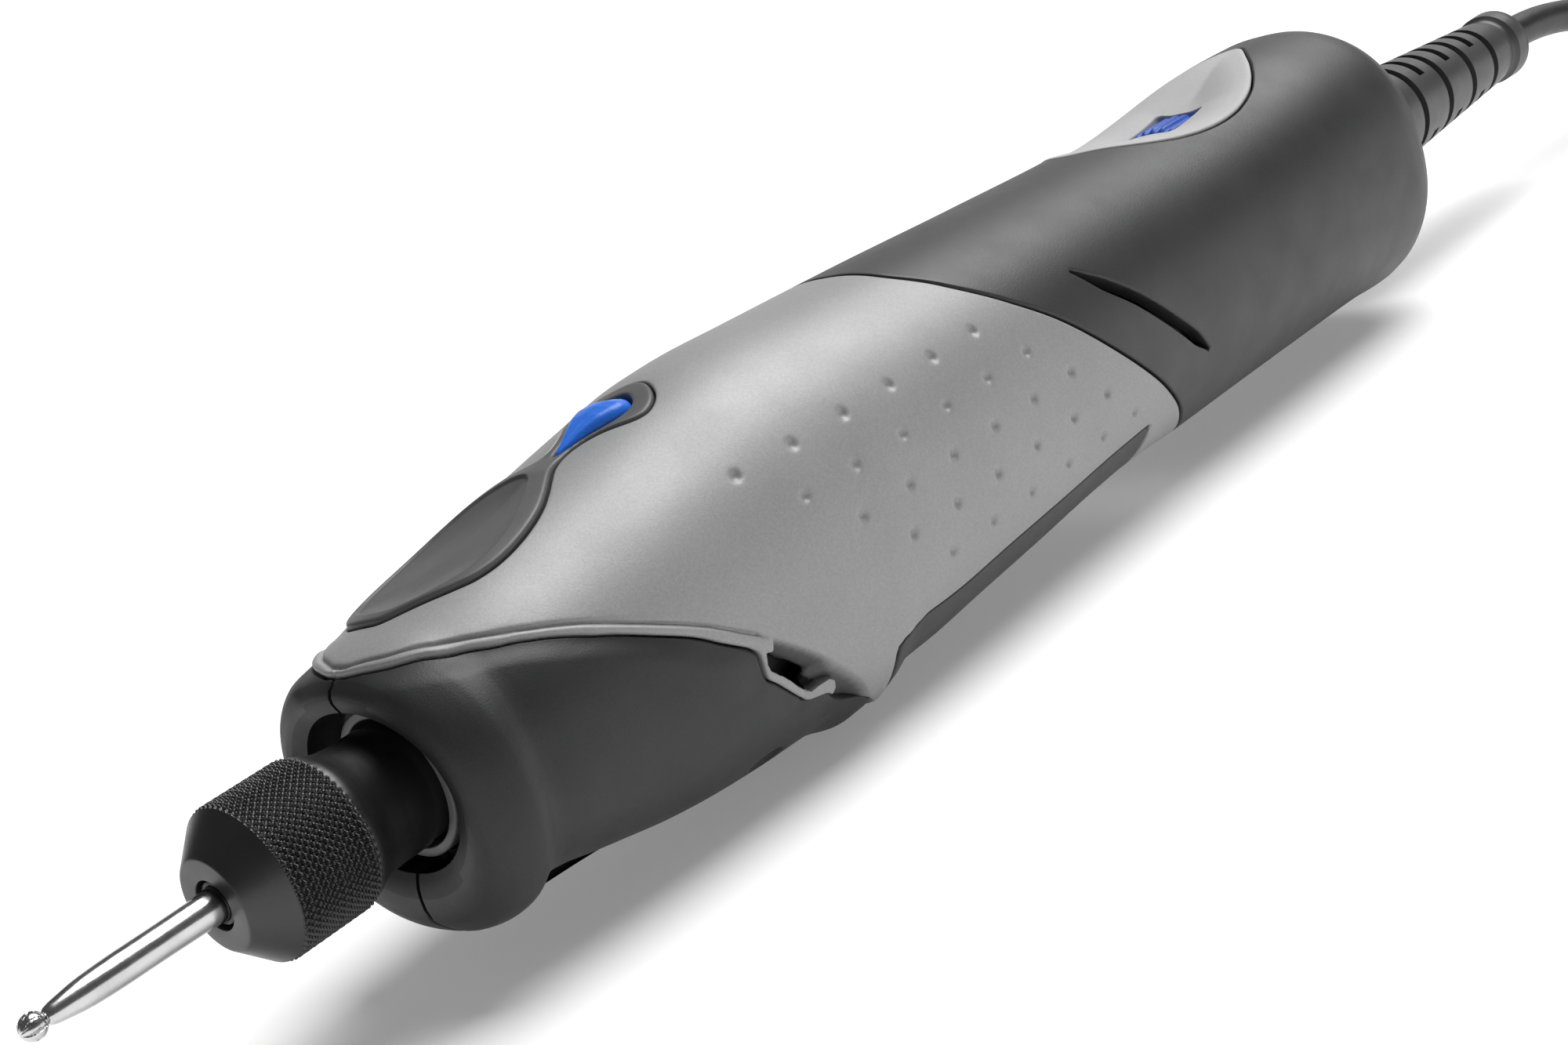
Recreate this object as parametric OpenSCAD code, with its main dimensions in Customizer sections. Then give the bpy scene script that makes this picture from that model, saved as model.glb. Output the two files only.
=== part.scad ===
// Pen-type rotary engraving tool with its motor in the grip, a power cord and a plug-in power supply.
// Tool coordinates: x runs along the spindle from the burr's ball to the cord, z is up (button side).
// The row frame is shifted so that x is centred on the tool and z = 0 is the surface it lies on.

/* [Tool] */
// Height of the spindle axis above the surface the tool lies on
axis_z = 19.5; // [19.5:0.1:21]
// Distance from the burr's ball centre to the middle of the tool's length
mid_x = 132.8; // [132.8:0.1:133.2]
// Wall thickness of the housing shells
wall = 2.2; // [1.8:0.1:2.4]
// Gap between neighbouring shells
gap = 0.15; // [0.1:0.05:0.2]

/* [Collet and burr] */
// Radius of the burr's ball
ball_r = 1.2; // [0.8:0.1:1.5]
// Radius of the burr's shank
shank_r = 1.5875; // [1.5:0.0125:1.6]
// Outer radius of the collet nut over its knurl
nut_r = 7.5; // [7:0.1:7.8]
// Radius of the smooth neck behind the nut
neck_r = 5.85; // [5.6:0.05:6]

/* [Lock button] */
// Travel of the spindle lock button
lock_travel = 2.2; // [2:0.1:2.4]
// Number of notches in the lock disc
lock_notches = 12; // [12:12:12]

/* [Speed wheel] */
// Radius of the speed thumbwheel
wheel_r = 9; // [8.6:0.1:9]
// Thickness of the speed thumbwheel
wheel_t = 4.4; // [4:0.1:4.6]
// Number of ribs round the speed thumbwheel
wheel_ribs = 36; // [24:1:40]

/* [Cord] */
// Diameter of the cord
cord_d = 5; // [4.6:0.1:5.2]

/* [Hidden] */
$fn = 48;

// Half width, height above and depth below the spindle axis at stations along the tool.
W = [[35.9, 11.2], [36.3, 12.2], [37.8, 14.6], [40.5, 16.2], [43.5, 16.6], [46.5, 16.2], [50, 16.3],
  [57, 16.8], [66, 17.5], [75, 18.2], [84, 18.8], [90, 19], [98, 19], [118, 18.6], [140, 18],
  [163, 17.7], [196, 17.7], [204, 17.5], [208, 16.4], [210.5, 14.3], [211.5, 12]];
ZT = [[35.9, 11], [36.3, 11.5], [37.8, 12.4], [40.5, 13.2], [43.5, 13.9], [46.5, 14.5], [50, 15.2],
  [57, 16.5], [66, 18.2], [75, 19.8], [84, 21.2], [90, 21.4], [98, 21.2], [118, 20.7], [140, 19.9],
  [163, 19.3], [182, 19.8], [196, 20.6], [204, 20.5], [208, 19.3], [210.5, 17.2], [211.5, 14.9]];
ZB = [[35.9, 12.2], [36.3, 13.3], [37.8, 15], [40.5, 15.5], [43.5, 15.2], [46.5, 14.3], [50, 14.5],
  [57, 15.3], [66, 16.3], [75, 17.4], [84, 18.6], [90, 19.5], [98, 18.3], [118, 17.5], [140, 16.7],
  [163, 16.5], [182, 16.6], [204, 16.7], [208, 15.6], [210.5, 13.5], [211.5, 11.2]];
// Front and lower edge of the grip cover, by angle round the body (90 is the top).
EDGE = [[90, 37.4], [104, 38.2], [114, 39.4], [124, 41.8], [134, 44.5], [144, 47.9], [154, 51.6],
  [164, 55.8], [178, 62.6], [190, 68], [204, 71.6], [214, 74.4], [222, 78], [233, 82.3], [247, 86.7], [270, 89]];
// Raked seam between the grip cover and the rear housing.
SEAM = [[90, 110.6], [110, 111], [128, 114], [145, 118.7], [160, 124], [172, 128.4], [184, 133.8],
  [199, 139.1], [224, 145.1], [250, 149.5], [270, 151]];
// Half width of the finger pad and its button surround.
PAD = [[42.6, 0.4], [44, 3], [47, 6], [50, 7.4], [53, 8.1], [56, 8.1], [59.5, 7], [62.5, 5],
  [65.5, 3.1], [67.8, 2.7], [70, 4.1], [72.5, 5.8], [75, 6.5], [77.5, 6.2], [79.5, 5], [81, 3.2], [82, 0.9]];
// Half width of the dial bezel.
BEZ = [[156.5, 1.2], [158.5, 4.6], [161, 7.4], [165, 9.7], [170, 11], [176, 11.2], [182, 10.2],
  [187, 8.6], [191.5, 6.4], [195, 3.8], [197.2, 1]];

function power(v, p) = sign(v) * pow(abs(v), p);
SQ = 2 / 2.25;
// Mirrored angle, so that both sides of the tool share the left side's tables.
function side(a) = let (b = (a % 360 + 360) % 360) b < 90 ? 180 - b : b > 270 ? 540 - b : b;
// A point on the body's skin, t millimetres inside it.
function skin(x, a, t) =
  let (w = lookup(x, W) - t, u = lookup(x, ZT) - t, d = lookup(x, ZB) - t)
  [x, w * power(cos(a), SQ), (u - d) / 2 + (u + d) / 2 * power(sin(a), SQ)];
// A point on a round ring about an axis at height c.
function ring(x, a, r, c = 0) = [x, r * cos(a), c + r * sin(a)];
// Height of the skin above the axis at a place on top of the body.
function top(x, y, t = 0) =
  let (w = lookup(x, W) - t, u = lookup(x, ZT) - t, d = lookup(x, ZB) - t)
  (u - d) / 2 + (u + d) / 2 * pow(max(0, 1 - pow(abs(y) / w, 2 / SQ)), SQ / 2);
function quad(a, b, c, d) = [[a, b, c], [a, c, d]];
function at(i, j, s, c, r) = s * c * r + (i % c) * r + j;

// A thick sheet between a grid of outer points and a grid of inner points.
module sheet(o, n, closed = false) {
  c = len(o);
  r = len(o[0]);
  m = closed ? c : c - 1;
  polyhedron(
    points = concat([for (k = o) each k], [for (k = n) each k]),
    faces = concat(
      [for (i = [0:m - 1], j = [0:r - 2]) each quad(at(i, j, 0, c, r), at(i, j + 1, 0, c, r), at(i + 1, j + 1, 0, c, r), at(i + 1, j, 0, c, r))],
      [for (i = [0:m - 1], j = [0:r - 2]) each quad(at(i, j, 1, c, r), at(i + 1, j, 1, c, r), at(i + 1, j + 1, 1, c, r), at(i, j + 1, 1, c, r))],
      [for (i = [0:m - 1]) each quad(at(i, 0, 0, c, r), at(i + 1, 0, 0, c, r), at(i + 1, 0, 1, c, r), at(i, 0, 1, c, r))],
      [for (i = [0:m - 1]) each quad(at(i, r - 1, 0, c, r), at(i, r - 1, 1, c, r), at(i + 1, r - 1, 1, c, r), at(i + 1, r - 1, 0, c, r))],
      closed ? [] : [for (j = [0:r - 2]) each quad(at(0, j, 0, c, r), at(0, j, 1, c, r), at(0, j + 1, 1, c, r), at(0, j + 1, 0, c, r))],
      closed ? [] : [for (j = [0:r - 2]) each quad(at(c - 1, j, 0, c, r), at(c - 1, j + 1, 0, c, r), at(c - 1, j + 1, 1, c, r), at(c - 1, j, 1, c, r))]));
}

// Puts a piece given in tool coordinates into the row frame.
module tool() { translate([-mid_x, 0, axis_z]) children(); }
// A solid turned about the spindle axis, from points [x, r].
module turned(p) { rotate([0, 90, 0]) rotate_extrude() polygon([for (q = p) [q[1], q[0]]]); }
// A plate across the tool, ins millimetres inside its skin.
module section(x, h, ins) {
  translate([x, 0, 0]) rotate([90, 0, 90]) linear_extrude(h)
    polygon([for (a = [0:10:350]) let (p = skin(x, a, ins)) [p[1], p[2]]]);
}
// A round bar along x.
module bar(x0, x1, r) { translate([x0, 0, 0]) rotate([0, 90, 0]) cylinder(h = x1 - x0, r = r); }
// A prism that cuts through a shell from above, from an outline table of [x, half width].
module window(tab, g, z0, z1) {
  translate([0, 0, z0]) linear_extrude(z1 - z0)
    polygon(concat([for (q = tab) [q[0] + (q[0] == tab[0][0] ? -g : q[0] == tab[len(tab) - 1][0] ? g : 0), q[1] + g]],
      [for (i = [len(tab) - 1:-1:0]) let (q = tab[i]) [q[0] + (i == 0 ? -g : i == len(tab) - 1 ? g : 0), -q[1] - g]]));
}

// How far the cover laps over the nose in a slanted joint.
function lap(a) = lookup(side(a), [[90, 3.9], [205, 3.9], [222, 0.4], [270, 0.4]]);
NOSE_F = [0, 0.03, 0.09, 0.15, 0.22, 0.29, 0.43, 0.62, 0.81, 1];

// One half of the nose: front face, rounded lip, and the flank up to the grip cover's edge.
module nose_half() {
  th = [for (a = [90:9:270]) a];
  sheet(
    [for (a = th) concat([ring(39, a, 7.6), ring(38.8, a, 8.3), ring(37.3, a, 8.9), ring(36.2, a, 9.9)],
      [for (f = NOSE_F) skin(35.9 + (lookup(a, EDGE) - 35.9) * f, a, 0)])],
    [for (a = th) concat([ring(41, a, 7.6), ring(41, a, 8.3), ring(41, a, 8.9), ring(41, a, 9.9)],
      [for (f = NOSE_F) skin(41 + (lookup(a, EDGE) + lap(a) - 41) * f, a, wall)])]);
}
// Side screws: place along the tool and how far in the tip reaches.
SCREWS = [[58, 9.3], [158, 12.5], [194, 12.5]];
function seat(x) = lookup(x, W) - 1.5;
module across(x) { translate([x, 0, 0]) rotate([-90, 0, 0]) children(); }
module screw_hole(x) {
  across(x) {
    translate([0, 0, 10]) cylinder(h = 12, r = 1.3);
    translate([0, 0, seat(x)]) cylinder(h = 5, r = 2.6);
  }
}

module nose_left() { color("dimgray") tool() nose_half(); }
module nose_right() {
  color("dimgray") tool() difference() {
    mirror([0, 1, 0]) nose_half();
    screw_hole(SCREWS[0][0]);
  }
}

module grip_cover() {
  th = [for (a = [90:10:440]) a];
  f = [0, 0.06, 0.14, 0.24, 0.34, 0.44, 0.54, 0.64, 0.74, 0.84, 0.93, 1];
  color("silver") tool() difference() {
    sheet(
      [for (a = th) let (b = side(a), p = lookup(b, EDGE) + gap, q = lookup(b, SEAM) - gap)
        [for (k = f) skin(p + (q - p) * k, a, 0)]],
      [for (a = th) let (b = side(a), p = lookup(b, EDGE) + gap + lap(a), q = lookup(b, SEAM) - gap)
        [for (k = f) skin(p + (q - p) * k, a, wall - 0.2)]], closed = true);
    translate([88.4, -14.6, -25]) cube([49, 29.2, 19]);
    window(PAD, gap, 5, 30);
  }
}

// Dark panel along the underside of the grip, between the cover's lower edges.
module belly_panel() {
  th = [for (k = [-1:0.125:1]) 270 + 50 * k];
  f = [0, 0.0178, 0.08, 0.18, 0.3, 0.5, 0.75, 1];
  color("dimgray") tool() difference() {
    sheet(
      [for (a = th) let (p = max(88.6, lookup(side(a), EDGE) + gap)) [for (k = f) skin(p + (137 - p) * k, a, 0.1 - 0.1 * max(0, 1 - abs(a - 270) / 20))]],
      [for (a = th) let (p = max(88.6, lookup(side(a), EDGE) + gap) + 0.4) [for (k = f) skin(p + (137 - p) * k, a, wall)]]);
    for (s = [-1, 1]) translate([80, s > 0 ? 14.4 : -34.4, -25]) cube([70, 20, 30]);
  }
}

module rear_housing() {
  th = [for (a = [90:10:440]) a];
  f = [0, 0.12, 0.3, 0.5, 0.7, 0.88, 1];
  color("dimgray") tool() difference() {
    sheet(
      [for (a = th) let (p = lookup(side(a), SEAM) + gap) concat([for (k = f) skin(p + (204 - p) * k, a, 0)],
        [for (x = [206, 208, 209.5, 210.5, 211.5]) skin(x, a, 0)], [ring(211.5, a, 8.6, 1.5), ring(211.5, a, 7.1, 1.5)])],
      [for (a = th) let (p = lookup(side(a), SEAM) + gap) concat([for (k = f) skin(p + (203 - p) * k, a, wall)],
        [for (x = [205, 206.5, 207.6, 208.4, 209.2]) skin(x, a, wall)], [ring(209.2, a, 8.6, 1.5), ring(209.2, a, 7.1, 1.5)])],
      closed = true);
    window(BEZ, gap, 8, 30);
    for (s = [-1, 1]) translate([0, s * 24, 0]) rotate([90, 0, 0]) linear_extrude(16, center = true)
      polygon([[129.6, 12.4], [149.2, -4.8], [150.4, -4.4], [151.2, -3.8], [131.4, 12.8]]);
    for (k = [1, 2]) screw_hole(SCREWS[k][0]);
  }
}

// Soft finger rest that runs back into the surround of the lock button.
module finger_pad() {
  color("dimgray") tool() difference() {
    sheet(
      [for (q = PAD) [for (v = [-1, -0.85, -0.6, -0.3, 0, 0.3, 0.6, 0.85, 1])
        let (x = q[0], y = q[1] * v, dish = x < 66 ? (1 - v * v) * lookup(x, [[43, 0], [48, 0.9], [58, 1.2], [64, 0.6], [66, 0]]) : 0)
        [x, y, top(x, y) + 0.35 - dish - 0.3 * pow(abs(v), 8)]]],
      [for (q = PAD) [for (v = [-1, -0.85, -0.6, -0.3, 0, 0.3, 0.6, 0.85, 1])
        let (x = q[0], y = q[1] * v) [x, y, top(x, y) - 2.4]]]);
    translate([0, 0, 5]) linear_extrude(25) drop(0.3);
  }
}

// Teardrop outline of the lock button, g larger all round.
module drop(g) {
  polygon([for (k = [0:15:345]) let (c = cos(k), s = sin(k))
    c > 0 ? [75.7 + (4.2 + g) * c, (4.2 + g) * s]
          : [75.7 + (7 + g) * c, (4.2 + g) * s * (1 - 0.45 * c * c)]]);
}

module dial_bezel() {
  color("silver") tool() difference() {
    sheet(
      [for (q = BEZ) [for (v = [-1, -0.9, -0.7, -0.45, -0.2, 0, 0.2, 0.45, 0.7, 0.9, 1])
        let (x = q[0], y = q[1] * v) [x, y, top(x, y) - dish(x, v)]]],
      [for (q = BEZ) [for (v = [-1, -0.9, -0.7, -0.45, -0.2, 0, 0.2, 0.45, 0.7, 0.9, 1])
        let (x = q[0], y = q[1] * v) [x, y, min(top(x, y) - 1.6 - dish(x, v), top(x, y) - 2.1)]]]);
    translate([175.2, -3, 15]) cube([5.2, 6, 8]);
    translate([0, 0, 8.9]) bar(175.2, 180.4, wheel_r + 0.4);
  }
}
function dish(x, v) = (1 - pow(abs(v), 2.5)) * lookup(x, [[156.5, 0], [162, 0.8], [168, 1.9], [176, 2.8], [182, 2.6], [189, 1.4], [197.2, 0]]);

module front_ring() { color("gainsboro") tool() turned([[38.9, 6.35], [38.9, 7.45], [41.3, 7.45], [41.3, 6.35]]); }

// Barrel that carries both ball bearings, guides the lock pin and fills the shells.
module spindle_barrel() {
  color("gray") tool() difference() {
    union() {
      turned([[41.5, 6.3], [41.5, 10.4], [48, 10.4], [48, 12], [84, 12], [84, 10], [71, 10], [71, 7], [69, 7], [69, 8.02],
        [64, 8.02], [64, 7], [48, 7], [48, 8.02], [43, 8.02], [43, 6.3]]);
      for (x = [50, 63]) difference() {
        section(x, 2.4, 2.7);
        bar(x - 1, x + 4, 11);
      }
    }
    translate([75, 0, 0]) cylinder(h = 15, r = 1.25);
    across(SCREWS[0][0]) translate([0, 0, 9.2]) cylinder(h = 5, r = 1.25);
  }
}
module bearing(x) {
  turned([[x, 4.03], [x, 5.2], [x + 0.4, 5.4], [x + 0.4, 6.7], [x, 6.9], [x, 8], [x + 4.9, 8], [x + 4.9, 6.9],
    [x + 4.5, 6.7], [x + 4.5, 5.4], [x + 4.9, 5.2], [x + 4.9, 4.03]]);
}
module front_bearing() { color("lightgray") tool() bearing(43.05); }
module rear_bearing() { color("lightgray") tool() bearing(64.05); }
// Frame that holds the motor, the circuit board and the cord clamp between two rails.
module motor_frame() {
  color("dimgray") tool() difference() {
    union() {
      section(91.5, 3, 2.7);
      turned([[94.4, 12.1], [94.4, 14.2], [98, 14.2], [98, 12.1]]);
      turned([[124, 12.1], [124, 14.2], [129, 14.2], [129, 12.1]]);
      for (s = [-1, 1]) translate([92, s > 0 ? 12.5 : -14.9, -3]) cube([111, 2.4, 6]);
    }
    bar(90, 130, 12.05);
    for (k = [1, 2]) across(SCREWS[k][0]) translate([0, 0, 10]) cylinder(h = 8, r = 1.25);
  }
}
module motor_can() {
  color("lightgray") tool() turned([[91, 3], [91, 4.5], [92, 4.5], [92, 12], [130, 12], [130, 11], [93.2, 11], [93.2, 4], [93.2, 1.63], [91, 1.63]]);
}
module motor_magnets() {
  color("dimgray") tool() for (s = [0, 180]) rotate([s, 0, 0]) difference() {
    turned([[97, 9.4], [97, 10.95], [121, 10.95], [121, 9.4]]);
    translate([90, -20, -20]) cube([40, 40, 24]);
  }
}
module motor_end_cap() {
  color("dimgray") tool() turned([[130.05, 1.63], [130.05, 12], [132.5, 12], [132.5, 6], [134, 6], [134, 1.63]]);
}
module brushes() { color("darkgoldenrod") tool() for (s = [-1, 1]) translate([124.1, s > 0 ? 4.3 : -9.3, -1.5]) cube([5.9, 5, 3]); }
module circuit_board() {
  color("seagreen") tool() {
    translate([187.3, -12.4, -9]) cube([1.6, 24.8, 18]);
    translate([187.3, -9, 8.9]) cube([1.6, 18, 4.5]);
    for (s = [-1, 1]) translate([188.8, s * 5, -4]) rotate([0, 90, 0]) cylinder(h = 9.2, r = 3.2);
    translate([188.8, -6, 5]) cube([4, 12, 5]);
  }
}
module potentiometer() {
  color("royalblue") tool() difference() {
    translate([181.6, -6, 2.9]) cube([5.7, 12, 12]);
    translate([180, 0, 8.9]) rotate([0, 90, 0]) cylinder(h = 6, r = 3.05);
  }
}
module inner_cord() { color("black") tool() translate([0, 0, 1.5]) bar(189.1, 206.3, cord_d / 2); }
module cord_clamp() {
  color("dimgray") tool() difference() {
    translate([198.4, -12.4, -2.9]) cube([3.4, 24.8, 8.4]);
    translate([0, 0, 1.5]) bar(198, 203, cord_d / 2 + 0.05);
  }
}
// Screws that hold the housing from the right-hand side.
module housing_screws() {
  color("darkgray") tool() for (s = SCREWS) across(s[0]) difference() {
    union() {
      translate([0, 0, seat(s[0])]) cylinder(h = 1.1, r = 2.3);
      translate([0, 0, s[1]]) cylinder(h = seat(s[0]) - s[1] + 0.1, r = 1.2);
    }
    translate([0, 0, seat(s[0]) + 0.4]) cylinder(h = 2, r = 1.1, $fn = 6);
  }
}
// Tapered, grooved strain relief, clipped in the rear wall.
module strain_relief() {
  color("black") tool() translate([0, 0, 1.5]) difference() {
    turned([[206.4, 0], [206.4, 8.4], [208.9, 8.4], [208.9, 7], [211.7, 7], [211.7, 7.9], [213, 8], [262, 5], [263.2, 4.6], [263.8, 5.3],
      [266.4, 5.3], [266.8, 5], [266.8, 0]]);
    for (k = [0:3]) turned([[228 + k * 9.2, 3], [228 + k * 9.2, 9], [229.5 + k * 9.2, 9], [229.5 + k * 9.2, 3]]);
  }
}
module lock_spring() {
  color("lightgray") tool() translate([75, 0, 12.1]) difference() { cylinder(h = 4.75, r = 2.6); translate([0, 0, -1]) cylinder(h = 7, r = 1.9); }
}

// Rotating pieces.
module spindle() {
  color("dimgray") tool() turned([[20.6, 3.4], [20.6, 5], [31.1, 5], [31.1, neck_r], [38, neck_r + 0.1], [40.6, neck_r + 0.1], [40.6, 5.4], [42.8, 5.4], [42.8, 4],
    [84, 4], [84, 1.7], [80, 1.7], [80, 0], [40.5, 0], [40.5, 1.8], [34.6, 1.8], [34.6, 2.6]]);
}
module collet() {
  color("lightgray") tool() difference() {
    turned([[17.9, 1.62], [17.9, 2.2], [18.6, 2.4], [19.9, 2.4], [20.9, 3.3], [34.2, 2.5], [34.2, 1.62]]);
    for (a = [0:60:120]) rotate([a, 0, 0]) translate([17, -0.2, -5]) cube([9, 0.4, 10]);
  }
}
module lock_disc() {
  color("gray") tool() difference() {
    turned([[72.4, 4.0], [72.4, 9], [77.6, 9], [77.6, 4.0]]);
    for (a = [0:360 / lock_notches:359]) rotate([a, 0, 0]) translate([72, -1.6, 6]) cube([6, 3.2, 5]);
  }
}
module coupling() { color("darkorange") tool() turned([[80.2, 4.02], [80.2, 6], [84.4, 6], [85.5, 5.2], [90.4, 5.2], [90.4, 1.6], [84.1, 1.6], [84.1, 4.02]]); }
module motor_shaft() { color("lightgray") tool() bar(80.6, 145, 1.58); }
module armature() {
  color("saddlebrown") tool() difference() {
    turned([[95.5, 1.6], [95.5, 6], [98, 7.6], [98, 8.9], [120, 8.9], [120, 7.6], [122.5, 6], [122.5, 3.9], [129.6, 3.9], [129.6, 1.6]]);
    for (a = [0:72:359]) rotate([a, 0, 0]) translate([97.9, -0.6, 7]) cube([22.2, 1.2, 3]);
  }
}
module fan() {
  color("whitesmoke") tool() {
    turned([[136, 1.6], [136, 4], [142.5, 4], [142.5, 1.6]]);
    for (a = [0:45:359]) rotate([a, 0, 0]) translate([136.4, -0.5, 3.8]) rotate([0, 0, 14]) cube([5.6, 0.9, 8]);
  }
}
module collet_nut() {
  color("black") tool() difference() {
    turned([[17.8, 2.5], [17.8, 4.37], [21.1, nut_r], [30.2, nut_r], [30.8, nut_r - 0.5], [30.8, 5.05], [20.2, 5.05], [20.2, 3.8], [19, 2.5]]);
    for (k = [0:14]) rotate([k * 24, 0, 0]) translate([22.4, -0.25, nut_r - 0.25]) cube([7, 0.5, 1]);
  }
}
module burr() {
  color("lightgray") tool() difference() {
    union() {
      sphere(r = ball_r);
      turned([[0.3, 0], [0.3, 0.75], [2.6, 0.78], [6, 1.05], [16.6, 1.4], [17.6, shank_r], [36.7, shank_r], [37, shank_r - 0.3], [37, 0]]);
    }
    for (a = [0:45:359]) rotate([a, 0, 0]) translate([-1.4, -0.1, ball_r - 0.2]) cube([2.6, 0.2, 1]);
  }
}
module lock_button() {
  color("royalblue") tool() difference() {
    union() {
      translate([0, 0, 15.8]) linear_extrude(5.8) drop(0);
      translate([0, 0, 14.6]) linear_extrude(1.3) drop(1);
    }
    translate([75, 0, 14]) cylinder(h = 2.9, r = 2.9);
    translate([66, -6, 20.1]) rotate([0, -14, 0]) cube([9, 12, 6]);
  }
}
module lock_pin() { color("lightgray") tool() translate([75, 0, 9.5]) cylinder(h = 7.6, r = 1.2); }
module speed_wheel() {
  color("royalblue") tool() translate([0, 0, 8.9]) {
    difference() {
      bar(175.6, 175.6 + wheel_t, wheel_r);
      for (k = [0:wheel_ribs - 1]) rotate([k * 360 / wheel_ribs, 0, 0]) translate([175, -0.35, wheel_r - 0.45]) cube([6, 0.7, 2]);
    }
    bar(175.6 + wheel_t - 0.1, 185.5, 3);
  }
}

// Cord, in the row frame. It leaves the strain relief, droops to the surface and runs to the hank.
LEAD = [[134, 0, 20.9], [140, 0, 20.75], [147, 0, 20.3], [154, -0.3, 19.3], [161, -1.1, 17.7], [168, -2.5, 15.5],
  [175, -4.5, 12.9], [182, -7, 10.2], [189, -9.7, 7.7], [196, -12.5, 5.6], [202, -14.8, 4.2], [208, -16.8, 3.3],
  [214, -18.4, 2.75], [220, -19.5, 2.6], [226, -20, 2.6]];
TAIL = [[290, -20, 17.7], [295, -19.6, 17.3], [300, -18.4, 16.2], [305, -16.7, 14.8], [309, -15.3, 13.8],
  [313, -14.3, 13.2], [317, -14, 13]];
function unit(v) = v / norm(v);
function tangent(p, i) = unit(p[min(i + 1, len(p) - 1)] - p[max(i - 1, 0)]);
function rim(p, i, r) = let (t = tangent(p, i), s = unit(cross([0, 0, 1], t)), u = cross(t, s))
  [for (k = [0:7]) p[i] + r * (cos(k * 45 + 22.5) * s + sin(k * 45 + 22.5) * u)];
module tube(p, r) {
  n = len(p);
  polyhedron(
    points = [for (i = [0:n - 1]) each rim(p, i, r)],
    faces = concat([[for (k = [0:7]) k]], [[for (k = [7:-1:0]) (n - 1) * 8 + k]],
      [for (i = [0:n - 2], k = [0:7]) each quad(i * 8 + k, (i + 1) * 8 + k, (i + 1) * 8 + (k + 1) % 8, i * 8 + (k + 1) % 8)]));
}
module cord_lead() { color("black") tube(LEAD, cord_d / 2); }
module cord_tail() { color("black") tube(TAIL, cord_d / 2); }
module cord_hank() {
  color("black") translate([230, 0, 0]) linear_extrude(20.3) union() {
    circle(r = 22.6);
    translate([54, 0]) circle(r = 22.6);
    translate([0, -22.6]) square([54, 45.2]);
  }
}
module hank_tie() {
  color("dimgray") translate([251, 0, 0]) difference() {
    translate([0, -23.4, 0]) cube([12, 46.8, 21.1]);
    translate([-1, -22.6, -1]) cube([14, 45.2, 21.3]);
  }
}
module adapter_body() {
  color("black") {
    translate([330, -23, 0]) cube([42, 40, 26]);
    translate([312, -14, 13]) rotate([0, 90, 0]) cylinder(h = 18.1, r1 = 2.9, r2 = 4.8);
  }
}
module adapter_pins() {
  color("gold") for (s = [-1, 1]) translate([372, -3 + s * 9.5, 13]) rotate([0, 90, 0]) cylinder(h = 18, r = 2);
}

nose_left();
nose_right();
grip_cover();
belly_panel();
rear_housing();
finger_pad();
dial_bezel();
front_ring();
spindle_barrel();
front_bearing();
rear_bearing();
motor_frame();
motor_can();
motor_magnets();
motor_end_cap();
brushes();
circuit_board();
potentiometer();
inner_cord();
cord_clamp();
housing_screws();
strain_relief();
lock_spring();
spindle();
collet();
lock_disc();
coupling();
motor_shaft();
armature();
fan();
collet_nut();
burr();
lock_button();
lock_pin();
speed_wheel();
cord_lead();
cord_hank();
hank_tie();
cord_tail();
adapter_body();
adapter_pins();
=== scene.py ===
import math

import bpy
import numpy as np
from mathutils import Matrix, Vector
from mathutils.geometry import delaunay_2d_cdt


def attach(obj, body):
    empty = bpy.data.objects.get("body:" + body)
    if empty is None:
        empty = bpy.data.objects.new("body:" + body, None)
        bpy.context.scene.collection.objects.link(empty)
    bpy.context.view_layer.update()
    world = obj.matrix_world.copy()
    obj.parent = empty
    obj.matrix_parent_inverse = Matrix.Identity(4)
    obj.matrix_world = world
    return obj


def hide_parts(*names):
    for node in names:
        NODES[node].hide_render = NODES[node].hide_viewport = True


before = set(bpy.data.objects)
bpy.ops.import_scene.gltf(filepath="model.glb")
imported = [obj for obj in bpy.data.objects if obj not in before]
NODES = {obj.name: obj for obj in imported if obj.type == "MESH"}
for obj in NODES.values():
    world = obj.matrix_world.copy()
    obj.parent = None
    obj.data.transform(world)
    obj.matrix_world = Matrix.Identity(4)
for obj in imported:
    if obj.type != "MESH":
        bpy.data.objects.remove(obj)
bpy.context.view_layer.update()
scene = bpy.context.scene

MID_X, AXIS_Z = 132.8, 19.5
pi = math.pi


def row(p):
    """Tool coordinates in millimetres to the row frame in metres."""
    p = np.asarray(p, float)
    return (p + np.array([-MID_X, 0.0, AXIS_Z])) / 1000.0


# ---------------------------------------------------------------- camera
RIGHT = Vector((0.62410, -0.70815, -0.33023))
UP = Vector((0.41367, -0.05914, 0.90850))
BACK = -Vector((0.66285, 0.70357, -0.25602))
cam_data = bpy.data.cameras.new("camera")
cam_data.lens = 54.0
cam_data.sensor_width = 36.0
cam_data.clip_start = 0.01
cam = bpy.data.objects.new("camera", cam_data)
scene.collection.objects.link(cam)
m = Matrix((RIGHT, UP, BACK)).transposed().to_4x4()
m.translation = Vector((-67.83 - MID_X, -170.51, 62.47 + AXIS_Z)) / 1000.0
cam.matrix_world = m
scene.camera = cam


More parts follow.
